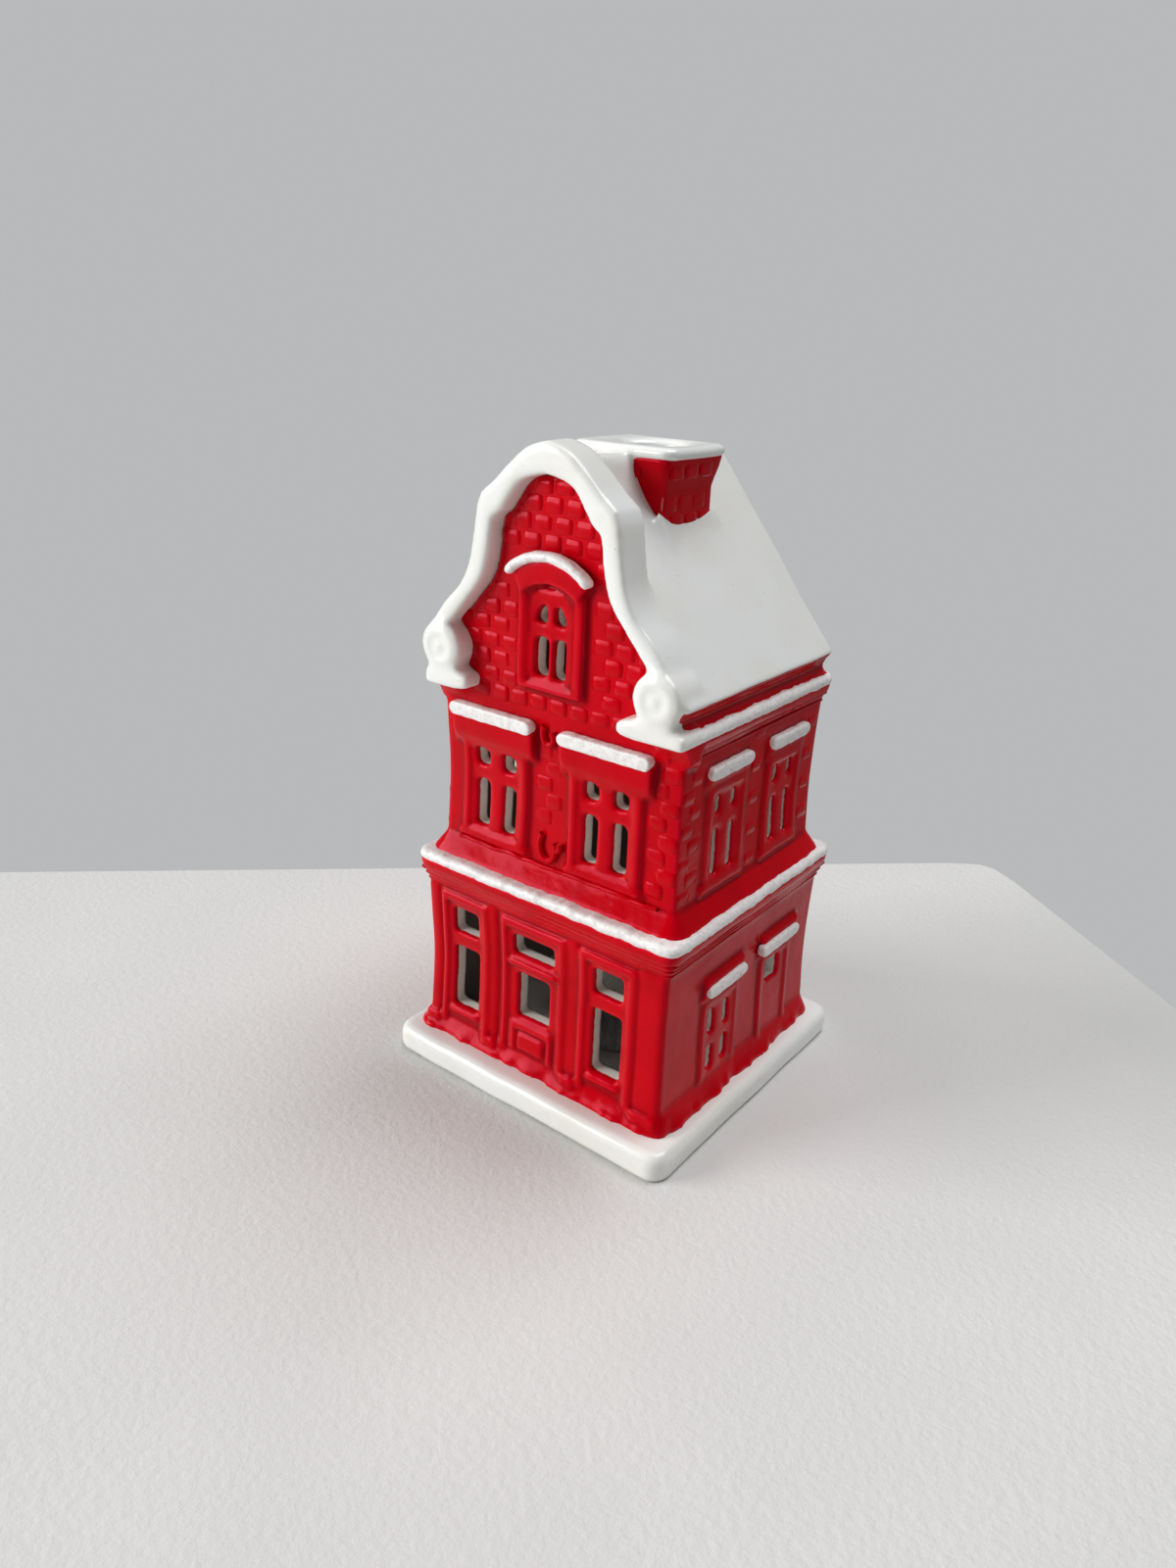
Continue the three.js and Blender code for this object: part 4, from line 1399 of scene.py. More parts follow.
@dataclass
class UpperStorey(Storey):
    """The brick upper floor with its lintels, cornice and the brick field of both gables."""

    half_x: float = 34.1
    half_y: float = 30.6
    waist: float = 0.45
    low: float = 55.0
    top: float = 104.4
    axis: float = -1.8
    bay: float = 16.3
    lintel_half: float = 12.4
    relief: Frame = Frame(0.6, 1.2, 1.7)
    side_relief: Frame = Frame(0.3, 0.8, 1.3)
    bays: list[Bay] = field(default_factory=list)

    def __post_init__(self) -> None:
        """Sets out the bays."""
        front = tuple((at, 3.6, v0, v1) for at in (-4.1, 4.1) for v0, v1 in ((82.3, 86.3), (66.8, 78.4)))
        side = tuple((at, 2.0, v0, v1) for at in (-3.3, 3.3) for v0, v1 in ((81.2, 85.2), (66.2, 77.2)))
        self.bays = [
            Bay(Facing.STREET, self.axis - self.bay, 10.0, 63.6, 88.5, front),
            Bay(Facing.STREET, self.axis + self.bay, 10.0, 63.6, 88.5, front),
        ]
        for facing in (Facing.LEFT, Facing.RIGHT):
            self.bays += [Bay(facing, middle, 8.0, 64.5, 88.0, side) for middle in (-12.0, 14.0)]

    def slump(self, co: np.ndarray) -> np.ndarray:
        """Draws the walls in at mid height, as the cast body slumped."""
        return self.draw_in(co, np.sin(np.pi * np.clip((co[:, 2] - 60.0) / 38.0, 0.0, 1.0)) ** 1.3)

    def lay_up_lintels(self, mould: Mould) -> None:
        """Adds the rounded blocks under the snow bars, and the sills.

        Args:
            mould: where they go.
        """
        for bay in self.bays:
            face = self.face(bay.facing)
            street = bay.facing is Facing.STREET
            half, out = (self.lintel_half, 2.2) if street else (8.9, 1.1)
            low, high = (87.4, 96.2) if street else (88.2, 93.4)
            block = [
                (face - LAP, low - 1.0), (face + 0.5 * out, low), (face + 0.9 * out, low + 1.8),
                (face + out, low + 3.4), (face + out, high - 1.5), (face - LAP, high + 0.6),
            ]
            mould.rail(bay.facing, bay.middle - half, bay.middle + half, block)
            half = bay.half + 0.8
            sill = (bay.middle - half, bay.middle + half, 62.9, 64.4)
            mould.block(bay.facing, sill, face - LAP, face + (1.4 if street else 0.9))

    def lay_up_corner_coves(self, mould: Mould, cornice: Outline) -> None:
        """Adds the cornice's ends on the street side, which die away under the scrolls' pads.

        Args:
            mould: where they go.
            cornice: the cornice's section.
        """
        for side in (1, -1):
            stations = ((self.half_x + 1.7, 1.0), (self.half_x - 4.0, 0.9), (self.half_x - 10.0, -0.2))
            rings = []
            for u, k in stations:
                section = [(self.half_y + (out * k if out > 0 else out - 0.3), z) for out, z in cornice]
                rings.append([Facing.STREET.at(side * u, out, z) for out, z in section])
            mould.loft(rings)

    def build(self) -> None:
        """Casts the storey in one piece with its plinth, cornice and gable walls."""
        mould = Mould()
        gable = Gable()
        for facing in Facing:
            face = self.face(facing)
            across = self.half_x + self.half_y - face
            holes = [hole for bay in self.bays if bay.facing is facing for hole in bay.holes]
            mould.pierced(facing, (-across, across, self.low, self.top), face - WALL, face, holes)
        for bay in self.bays:
            relief = self.relief if bay.facing is Facing.STREET else self.side_relief
            relief.lay_up(mould, bay, self.face(bay.facing), with_foot=True)
        self.lay_up_lintels(mould)
        plinth = [(-WALL, self.low), (3.6, 56.2), (3.6, 57.4), (1.3, 60.3), (0.2, 61.8), (-WALL, 62.4)]
        mould.around(self.half_x, self.half_y, lambda along: plinth, step=3.0)
        cornice = [
            (-WALL, 95.8), (0.0, 96.4), (0.3, 98.0), (1.3, 99.4), (1.8, 101.2), (1.2, 103.6), (-WALL, 103.6),
        ]
        mould.around(self.half_x, self.half_y, lambda along: cornice, step=3.0, quarters=3)
        self.lay_up_corner_coves(mould, cornice)
        gable.lay_up_walls(mould)
        storey = mould.cast("upper_storey_and_gables", 0.64, 2, depth=self.depth, slump=self.slump)
        walls = [f"upper_wall_{side}" for side in ("front", "rear", "left", "right")]
        frames = [f"upper_window_{side}_surround" for side in ("left", "right")]
        sides = [
            f"upper_{side}_{what}_window_surround" for side in ("left", "right") for what in ("front", "rear")
        ]
        mouldings = ["upper_plinth", "cornice_moulding"]
        gables = ["gable_brick_front", "gable_brick_rear", "attic_window_surround"]
        dress(storey, Finish.RED, HOUSE, [*walls, *frames, *sides, *mouldings, *gables])
        self.add_snow_bars()
        gable.add_snow_arc(self.slump)

    def add_snow_bars(self) -> None:
        """Adds the bar of snow over each window."""
        for side, middle in (("left", self.axis - self.bay), ("right", self.axis + self.bay)):
            node = f"upper_window_{side}_hood"
            SnowBar(node, Facing.STREET, middle, 12.6, 93.7, 97.0, self.half_y + 0.8, 2.0).build(self.slump)
        for facing, side in ((Facing.LEFT, "left"), (Facing.RIGHT, "right")):
            for what, middle in (("front_window", -12.6), ("rear_window", 14.0)):
                node = f"upper_{side}_{what}_hood"
                SnowBar(node, facing, middle, 9.0, 90.4, 93.6, self.half_x + 0.4, 1.5).build(self.slump)


@dataclass
class Gable:
    """The street gable: brick field, attic window, and the scrolled coping over it.

    The coping's half outlines are pairs of distance from the gable's middle line and height.
    """

    axis: float = -1.8
    brick_face: float = 30.6
    back: float = 26.6
    front: float = 34.6
    upper_half: float = 34.1
    outer: tuple[Outline, ...] = (
        ((34.9, 112.0), (29.3, 120.4), (24.5, 125.3), (21.6, 130.3), (20.2, 136.2), (19.1, 143.4)),
        ((18.0, 146.1), (14.0, 149.2), (10.1, 152.9), (5.3, 156.6), (0.0, 158.2)),
    )
    inner: tuple[Outline, ...] = (
        ((30.5, 112.3), (27.5, 115.7), (22.6, 121.6), (17.6, 127.5), (15.6, 133.4), (14.6, 141.0)),
        ((12.0, 142.7), (10.2, 145.4), (6.6, 149.6), (0.0, 151.5)),
    )
    attic: Bay = Bay(
        Facing.STREET, -1.8, 9.0, 104.6, 127.0, ((-2.5, 3.4, 108.0, 116.5), (2.5, 3.4, 108.0, 116.5)),
    )
    ridge_z: float = 153.9
    eaves_z: float = 108.9
    eaves_x: float = 36.0
    arc_radius: float = 15.8
    arc_centre: float = 118.7

    @property
    def slope(self) -> float:
        """How steeply the roof behind falls."""
        return (self.ridge_z - self.eaves_z) / self.eaves_x

    def over_crown(self, halves: tuple[Outline, ...]) -> list[Pair]:
        """The whole of an outline, from the right foot over the crown to the left foot.

        Args:
            halves: the parts of its right half, which meet at corners.

        Returns:
            The outline's points.
        """
        right = [point for half in halves for point in curve_through(half, 6)]
        left = [(-u, v) for u, v in right[:-1]][::-1]
        return [(u + self.axis, v) for u, v in [*right, *left]]

    def quarter_light(self, side: int) -> list[Rect]:
        """An upper attic light, as steps whose outer top corner is rounded.

        Args:
            side: 1 for the right light, -1 for the left.

        Returns:
            The steps' rectangles.
        """
        inner, foot, radius = 1.0, 119.8, 4.3
        rects = []
        for low in np.arange(0.0, radius, 0.4):
            reach = 3.2 * math.sqrt(max(0.0, 1 - (low / radius) ** 2))
            edges = sorted((self.axis + side * inner, self.axis + side * (inner + reach)))
            rects.append((edges[0], edges[1], foot + low, foot + low + 0.41))
        return rects

    def lay_up_walls(self, mould: Mould) -> None:
        """Adds the brick field with its attic window, and the plain rear gable.

        Args:
            mould: where they go.
        """
        holes = [*self.attic.holes, *self.quarter_light(-1), *self.quarter_light(1)]
        frame_rect = (self.axis - 9.0, self.axis + 9.0, 104.0, 127.0)
        inside = self.over_crown(self.inner)
        middle = len(inside) // 2
        for side, half in ((1, inside[: middle + 1]), (-1, inside[middle:][::-1])):
            edge = frame_rect[1] if side > 0 else frame_rect[0]
            foot = [(edge, 101.0), (side * self.upper_half, 101.0), (side * self.upper_half, 104.6)]
            above = [(u, v) for u, v in half if side * (u - edge) > 0]
            top = np.interp(side * edge, [side * u for u, v in half][::-1], [v for u, v in half][::-1])
            mould.prism(Facing.STREET, [*foot, *above, (edge, float(top))], self.back, self.brick_face)
        crown = [(u, v) for u, v in inside if frame_rect[0] < u < frame_rect[1] and v > 140]
        over_window = [(frame_rect[1], 127.0), *crown, (frame_rect[0], 127.0)]
        mould.prism(Facing.STREET, over_window, self.back, self.brick_face)
        mould.pierced(Facing.STREET, frame_rect, self.back, self.brick_face, holes)
        face, under = self.brick_face, self.brick_face - LAP
        u0, u1, v0, v1 = self.attic.rect
        mould.pierced(Facing.STREET, self.attic.rect, under, face + 0.9, holes)
        for rect in ((u0, u0 + 2.2, v0, v1), (u1 - 2.2, u1, v0, v1), (u0, u1, v0, v0 + 1.3)):
            mould.block(Facing.STREET, rect, under, face + 1.6)
        angles = np.linspace(math.pi / 2 - 0.75, math.pi / 2 + 0.75, 13)
        upper = arc((self.axis, self.arc_centre), (15.4, 15.4), angles)
        lower = arc((self.axis, self.arc_centre - 0.6), (11.2, 10.6), angles[::-1])
        mould.prism(Facing.STREET, [*upper, *lower], under, face + 2.3)
        top = self.eaves_z + 30.1 * self.slope
        rear = [(-33.0, 101.0), (33.0, 101.0), (33.0, self.eaves_z), (0.0, top + 1.5), (-33.0, self.eaves_z)]
        mould.prism(Facing.REAR, rear, self.back, self.brick_face)

    def add_snow_arc(self, slump: Shift) -> None:
        """Adds the arc of snow over the attic window.

        Args:
            slump: how the wall behind it has slumped.
        """
        mould = Mould()
        angles = np.linspace(math.pi / 2 - 0.79, math.pi / 2 + 0.79, 25)
        middle_line = arc((self.axis, self.arc_centre), (self.arc_radius, self.arc_radius), angles)
        for out in (1.6, 2.6):
            mould.rod([Facing.STREET.at(u, self.brick_face + out, v) for u, v in middle_line], 1.2, 10)
        snow = mould.cast("snow_on_attic_window_hood", 0.36, 4, slump=slump, wave=(2.0, 0.14, 8.8))
        dress(snow, Finish.SNOW, HOUSE, ["attic_window_hood"])

    def half_width(self, height: float) -> float:
        """Half the width of the brick field at a height."""
        points = [point for half in self.inner for point in curve_through(half, 6)]
        return float(np.interp(height, [v for _, v in points], [u for u, _ in points]))


@dataclass
class Roof:
    """The snow that covers the coping, both slopes and the ridge, in one piece with the chimney's cap."""

    rise: float = 6.0
    rear: float = 30.6
    scroll_reach: float = 29.9
    scroll_z: float = 110.2
    scroll_radius: float = 5.9
    cap_y: float = -0.5
    gable: Gable = field(default_factory=Gable)

    def depth(self, co: np.ndarray) -> np.ndarray:
        """How far points are below the slopes, where the roof is raw inside.

        Args:
            co: the points.

        Returns:
            A depth for each, which is held back a little, because the snow is thick.
        """
        g = self.gable
        across = np.abs(co[:, 0])
        below = g.ridge_z - g.slope * across - co[:, 2]
        inside = np.minimum(co[:, 1] + g.back, self.rear - co[:, 1])
        return np.minimum(below, np.where(across < g.eaves_x - 2.0, inside + 3.0, 0.0)) * 0.8

    def lay_up_coping(self, mould: Mould) -> None:
        """Adds the coping with its scrolls and their pads.

        Args:
            mould: where it goes.
        """
        g = self.gable
        outline = [*g.over_crown(g.outer), *g.over_crown(g.inner)[::-1]]
        mould.prism(Facing.STREET, outline, g.back - 0.8, g.front)
        for side in (1, -1):
            x = g.axis + side * self.scroll_reach + 0.6
            angles = np.linspace(0, 2 * math.pi, 30, endpoint=False)
            disc = arc((x, self.scroll_z), (self.scroll_radius, self.scroll_radius), angles)
            mould.prism(Facing.STREET, disc, g.back - 0.8, g.front + 0.9)
            groove = arc((x, self.scroll_z), (3.7, 3.7), np.linspace(0.0, 2 * math.pi, 40))
            mould.rod([Facing.STREET.at(u, g.front + 0.95, v) for u, v in groove], 0.75)
            mould.dome(Facing.STREET.at(x, g.front + 0.7, self.scroll_z), (1.5, 1.0, 1.5))
            pad_in, pad_out = g.axis + side * 21.0, side * 36.3
            pad = [
                (pad_in, 101.6), (pad_in + side * 2.5, 100.9), (pad_out, 100.7), (pad_out, 103.9),
                (x + side * 4.6, 104.2), (pad_in + side * 3.2, 105.3), (pad_in, 104.2),
            ]
            mould.prism(Facing.STREET, pad, g.back - 0.8, 35.7)
            verge = [(side * 27.0, 108.4), (side * 36.0, 108.7), (side * 36.2, 109.2), (side * 29.6, 117.2)]
            mould.prism(Facing.STREET, verge, g.back - 0.8, 33.6)
            mould.block(Facing.STREET, (x - 4.8, x + 4.8, 103.5, 107.5), 31.6, 34.6)

    def lay_up_gable_back(self, mould: Mould) -> None:
        """Adds the snow on the gable's back, above the slopes, so that no wall shows there.

        Args:
            mould: where it goes.
        """
        g = self.gable
        outline = g.over_crown(g.outer)
        middle = len(outline) // 2
        for side, half in ((1, outline[: middle + 1]), (-1, outline[middle:][::-1])):
            under = [(0.0, g.ridge_z - 2.0), (side * 33.0, g.ridge_z - 2.0 - 33.0 * g.slope)]
            mould.prism(Facing.STREET, [*half, *under], g.back - 1.6, g.back + 0.6)

    def lay_up_slopes(self, mould: Mould) -> None:
        """Adds the slopes, open where the flue comes up, and the mound on the ridge before the chimney.

        Args:
            mould: where they go.
        """
        g = self.gable
        low, high = g.eaves_z - 0.2, g.eaves_z + 0.3
        inside = g.eaves_x - self.rise / g.slope
        section = [
            (g.eaves_x, low), (g.eaves_x, high), (0.0, g.ridge_z), (-g.eaves_x, high), (-g.eaves_x, low),
            (-inside, low), (0.0, g.ridge_z - self.rise), (inside, low),
        ]
        front, back, well = -9.3, 8.3, 9.6  # the flue's opening: its ends along Y, and half its width
        mould.prism(Facing.REAR, section, -g.back, front)
        mould.prism(Facing.REAR, section, back, self.rear)
        at_well = g.ridge_z - g.slope * well
        for side in (1, -1):
            beside = [
                (side * g.eaves_x, low), (side * g.eaves_x, high), (side * well, at_well),
                (side * well, at_well - self.rise), (side * inside, low),
            ]
            mould.prism(Facing.REAR, beside, front - LAP, back + LAP)
        half = [
            (13.0, 137.6), (10.8, 140.7), (8.4, 143.5), (6.3, 145.9),
            (4.8, 149.0), (3.9, 152.4), (3.2, 154.9),
        ]
        mound = [*half, *[(-x, z) for x, z in half[::-1]]]
        mould.prism(Facing.STREET, mound, 9.4, g.back + 1.0)
        for side in (1, -1):
            self.lay_up_drift(mould, side)

    def lay_up_drift(self, mould: Mould, side: int) -> None:
        """Adds the drift along a side of the stack, which climbs at its corners.

        Args:
            mould: where it goes.
            side: 1 for the right slope, -1 for the left.
        """
        slope = self.gable.slope
        face, reach = 11.6, 10.5  # half the stack's width and depth
        foot = self.gable.ridge_z - slope * face
        rings = []
        for y in np.linspace(-13.2, 12.2, 28):
            edge = abs(y - self.cap_y) / reach
            climb = 3.0 if y < self.cap_y else 1.9
            height = 0.1 + climb * min(edge, 1.0) ** 3 * max(0.0, 1.0 - max(0.0, edge - 1.0) / 0.2)
            width = 0.7 + 1.5 * height
            section = [
                (face - 1.2, foot - 1.0), (face - 1.2, foot + 1.5 + height), (face, foot + height),
                (face + 0.4 * width, foot - 0.4 * width * slope + 0.45 * height),
                (face + width, foot - width * slope - 0.05), (face + width - 0.6, foot - width * slope - 1.3),
            ]
            rings.append([(side * x, float(y), z) for x, z in section])
        mould.loft(rings)

    def lay_up_cap(self, mould: Mould) -> None:
        """Adds the cap: a thick slab of snow with the flue's mouth through it.

        Args:
            mould: where it goes.
        """
        sides, widest = 40, 1.412  # the stretch that turns a ring into nearly a rectangle
        angles = [2 * math.pi * (k + 0.5) / sides for k in range(sides)]
        stretches = [min(1.0 / max(abs(math.cos(a)), abs(math.sin(a))), widest) for a in angles]
        outside = ((13.4, 11.4, 153.7), (14.0, 12.0, 154.5), (14.0, 12.0, 155.8), (13.3, 11.3, 156.5))
        rings = []
        for wide, deep, z in outside:
            spots = zip(angles, stretches)
            rings.append([(wide * math.cos(a) * k, self.cap_y + deep * math.sin(a) * k, z) for a, k in spots])
        mouth = (6.8, 5.6)
        lip = (mouth[0] + 1.6, mouth[1] + 1.6)
        for radii, z in ((lip, 156.1), (mouth, 155.2), (mouth, 153.7)):
            rings.append([(x, y, z) for x, y in arc((0.0, self.cap_y + 1.8), radii, angles)])
        mould.loft(rings, loop=True)

    def build(self) -> None:
        """Casts the snow."""
        mould = Mould()
        self.lay_up_coping(mould)
        self.lay_up_gable_back(mould)
        self.lay_up_slopes(mould)
        self.lay_up_cap(mould)
        snow = mould.cast("snow_coping_and_roof", 0.52, 14, depth=self.depth, wave=(16.0, 0.3, 2.3))
        low, high = node_box("gable_coping", "roof_slope_left", "chimney_cap", "base_slab")
        write_points(snow.data, np.clip(read_points(snow.data) / MM, low, high))
        sides = [
            f"{part}_{side}" for part in ("scroll", "scroll_pad", "roof_slope") for side in ("left", "right")
        ]
        dress(snow, Finish.WHITE, HOUSE, ["gable_coping", "chimney_cap", *sides])


@dataclass
class Eaves:
    """The dark cove under each side's eaves, between the cornice's snow and the roof."""

    front: float = -33.6
    rear: float = 30.4

    def build(self) -> None:
        """Casts both coves."""
        mould = Mould()
        profile = [
            (29.0, 103.4), (34.0, 103.4), (33.9, 104.6), (33.3, 105.2), (33.5, 106.2),
            (33.9, 106.7), (34.1, 107.5), (34.9, 108.2), (35.3, 109.6), (29.0, 109.6),
        ]
        for facing in (Facing.LEFT, Facing.RIGHT):
            mould.rail(facing, self.front, self.rear, profile)
        coves = mould.cast("eaves_coves", 0.42, 2)
        dress(coves, Finish.RED, HOUSE, ["eaves_cove_left", "eaves_cove_right"])


@dataclass
class Chimney:
    """The brick stack with its corbelled head."""

    half_x: float = 11.6
    half_y: float = 10.5
    y: float = -0.5
    flue_pull: float = -4.1

    def depth(self, co: np.ndarray) -> np.ndarray:
        """How far points are inside the stack's faces."""
        return np.minimum(self.half_x - np.abs(co[:, 0]), self.half_y - np.abs(co[:, 1] - self.y))

    def build(self, bricks: Brickwork) -> None:
        """Casts the stack and lays its bricks.

        Args:
            bricks: the bricklayer.
        """
        mould = Mould()
        profile = [
            (self.flue_pull, 133.0), (-0.5, 133.0), (-0.5, 147.2), (-0.1, 148.8), (0.7, 151.2), (1.4, 154.3),
            (self.flue_pull, 154.3),
        ]
        mould.around(self.half_x, self.half_y, lambda along: profile, corner=0.8, step=2.0, centre_y=self.y)
        stack = mould.cast("chimney_stack_glazed", 0.45, 3, depth=self.depth)
        dress(stack, Finish.RED, HOUSE, ["chimney_stack"])
        parts = []
        for index, facing in enumerate(Facing):
            street = facing in (Facing.STREET, Facing.REAR)
            face, across = (self.half_y, self.half_x) if street else (self.half_x, self.half_y)
            middle = 0.0 if street else self.y
            shift = Vector((0.0, self.y if street else 0.0, 0.0))
            for low, high, out in ((134.5, 147.2, -0.6), (149.6, 153.5, 0.9)):
                patch = (middle - across + 3.4, middle + across - 3.6, low, high)
                parts.append(bricks.lay(
                    f"chimney_bricks_{index}_{int(low)}", facing, face + out, [patch],
                    relief=0.16, seed=31 + index, lean=lambda co, move=shift: co + np.array(move),
                ))
        dress(join_pieces("chimney_brickwork", parts), Finish.RED, HOUSE)


@dataclass
class WallBricks:
    """The brickwork of the upper walls and both gables."""

    upper: UpperStorey
    gable: Gable
    bricks: Brickwork

    def street_patches(self) -> list[Rect]:
        """Where the street front shows bricks.

        Returns:
            The patches, which leave the attic window and its snow bare.
        """
        axis, course = self.gable.axis, 4.0
        patches = [(-24.0, 20.5, 99.4, 104.0)]
        for low in np.arange(104.6, 149.0, course):
            half = self.gable.half_width(max(low + 2.0, 112.4)) - 2.2
            if low < 112.0:
                half = min(half, 21.5)
            high = low + course
            if low < 134.0:
                bare = 12.4 if low < 128.0 else 13.6
                patches += [(axis - half, axis - bare, low, high), (axis + bare, axis + half, low, high)]
            else:
                patches.append((axis - half, axis + half, low, high))
        return [p for p in patches if p[1] - p[0] > 0.4]

    def side_patches(self) -> list[Rect]:
        """Where the side walls show bricks."""
        return [(-27.5, -23.5, 62.6, 96.0), (-1.0, 3.0, 62.6, 96.0), (25.0, 27.5, 62.6, 96.0)]

    def rear_patches(self) -> list[Rect]:
        """Where the rear wall and its gable show bricks.

        Returns:
            The patches.
        """
        patches = [(-30.0, 30.0, 62.6, 98.5)]
        for low in np.arange(104.6, 140.0, 4.0):
            half = min(30.0, 36.0 - (low + 4.0 - 104.0) / self.gable.slope - 5.0)
            if half > 2.0:
                patches.append((-half, half, low, low + 4.0))
        return patches

    def build(self) -> None:
        """Lays the bricks of the street front, and those of the sides and the rear."""
        lay, slump = self.bricks.lay, self.upper.slump
        street, side = self.upper.half_y - 0.12, self.upper.half_x - 0.12
        at_corner, at_pier = [(28.3, 31.2, 64.0, 98.0)], [(-3.4, -0.3, 72.5, 92.0)]
        parts = [
            lay("gable_bricks", Facing.STREET, street, self.street_patches(), slump, 0.26, 5),
            lay("corner_bricks", Facing.STREET, street, at_corner, slump, 0.26, 9),
            lay("pier_bricks", Facing.STREET, street, at_pier, slump, 0.2, 10),
        ]
        dress(join_pieces("street_brickwork", parts), Finish.RED, HOUSE)
        parts = [
            lay("left_bricks", Facing.LEFT, side, self.side_patches(), slump, 0.2, 6),
            lay("right_bricks", Facing.RIGHT, side, self.side_patches(), slump, 0.2, 7),
            lay("rear_bricks", Facing.REAR, street, self.rear_patches(), slump, 0.22, 8),
        ]
        dress(join_pieces("side_and_rear_brickwork", parts), Finish.RED, HOUSE)


@dataclass
class Trim:
    """Fine beads that follow the mouldings, and the small modelled curls between the windows."""

    tree: bpy.types.NodeTree
    ground: GroundStorey
    upper: UpperStorey

    def sweep(
        self, name: str, paths: Sequence[Sequence[Point]], radius: float, closed: bool = False,
        slump: Shift = unmoved,
    ) -> None:
        """Sweeps a bead along paths, and dresses it.

        Args:
            name: the piece's name.
            paths: each path's points, in millimetres.
            radius: the bead's radius.
            closed: whether each path ends where it starts.
            slump: how the wall behind has slumped.
        """
        points, edges = [], []
        for path in paths:
            start = len(points)
            points += [tuple(p) for p in waver(slump(np.array(path, float)), *HAND_WORK)]
            edges += [(start + i, start + i + 1) for i in range(len(path) - 1)]
            if closed:
                edges.append((start + len(path) - 1, start))
        mesh = bpy.data.meshes.new(name)
        mesh.from_pydata(points, edges, [])
        obj = put_in_scene(name, mesh)
        mesh = grow(obj, self.tree, Finish.RED, Radius=radius, Step=0.7)
        write_points(mesh, read_points(mesh))
        write_values(mesh, "depth", np.zeros(len(mesh.vertices)))
        # a fixed crest that paints a slight highlight on the beads
        write_values(mesh, "crest", np.full(len(mesh.vertices), 0.15))
        dress(obj, Finish.RED, HOUSE)

    def round_house(self, half_x: float, half_y: float, z: float) -> list[Point]:
        """A path round the house at a height, with small round corners."""
        corner = 1.2
        return [(x, y, z) for x, y in round_corners(half_x - corner, half_y - corner, corner, 5)]

    def round_sides(self, half_x: float, half_y: float, z: float) -> list[Point]:
        """A path from the street front's right corner by the rear to its left corner."""
        ring = self.round_house(half_x, half_y, z)
        return [(half_x, 1.5 - half_y, z), *ring[:10], (-half_x, 1.5 - half_y, z)]

    def curl(self, middle: float, height: float, size: float, side: int) -> list[Point]:
        """A small C-scroll on the street front, which closes in over three quarters of a turn.

        Args:
            middle: where its middle is along the wall.
            height: and how high.
            size: its radius where it starts.
            side: 1 if it starts at the left and opens to the right, -1 for the other way round.

        Returns:
            The points of its path.
        """
        face = self.upper.half_y + 0.4
        path = []
        for t in np.linspace(0.0, 1.0, 40):
            angle = 0.75 * math.pi + 1.5 * math.pi * t
            radius = size * (1.0 - 0.55 * t)
            u, v = middle + side * radius * math.cos(angle), height + radius * math.sin(angle) * 1.35
            path.append(Facing.STREET.at(u, face, v))
        return path

    def build(self) -> None:
        """Sweeps the beads and curls."""
        g, u = self.ground, self.upper
        levels = ((0.35, 49.2), (0.85, 50.7), (1.55, 52.2))
        beads = [self.round_house(g.half_x + out, g.half_y + out, z) for out, z in levels]
        self.sweep("string_course_beads", beads, 0.25, closed=True)
        levels = ((0.1, 97.0), (0.75, 98.9))
        beads = [self.round_sides(u.half_x + out, u.half_y + out, z) for out, z in levels]
        self.sweep("cornice_beads", beads, 0.3)
        curls = [self.curl(-0.9, 67.0, 3.2, 1), self.curl(1.3, 68.0, 1.0, -1), self.curl(-1.4, 94.4, 2.2, 1)]
        self.sweep("modelled_curls", curls, 0.85, slump=u.slump)
        roll = []
        for along in np.arange(-29.0, 30.0, 0.6):
            out = u.half_y + 0.35 + 0.2 * ripple(along, 3.0, 6.6)
            roll.append(Facing.STREET.at(along, out, 61.9 + 0.3 * ripple(along, 4.0, 2.4)))
        self.sweep("plinth_roll", [roll], 0.56, slump=u.slump)


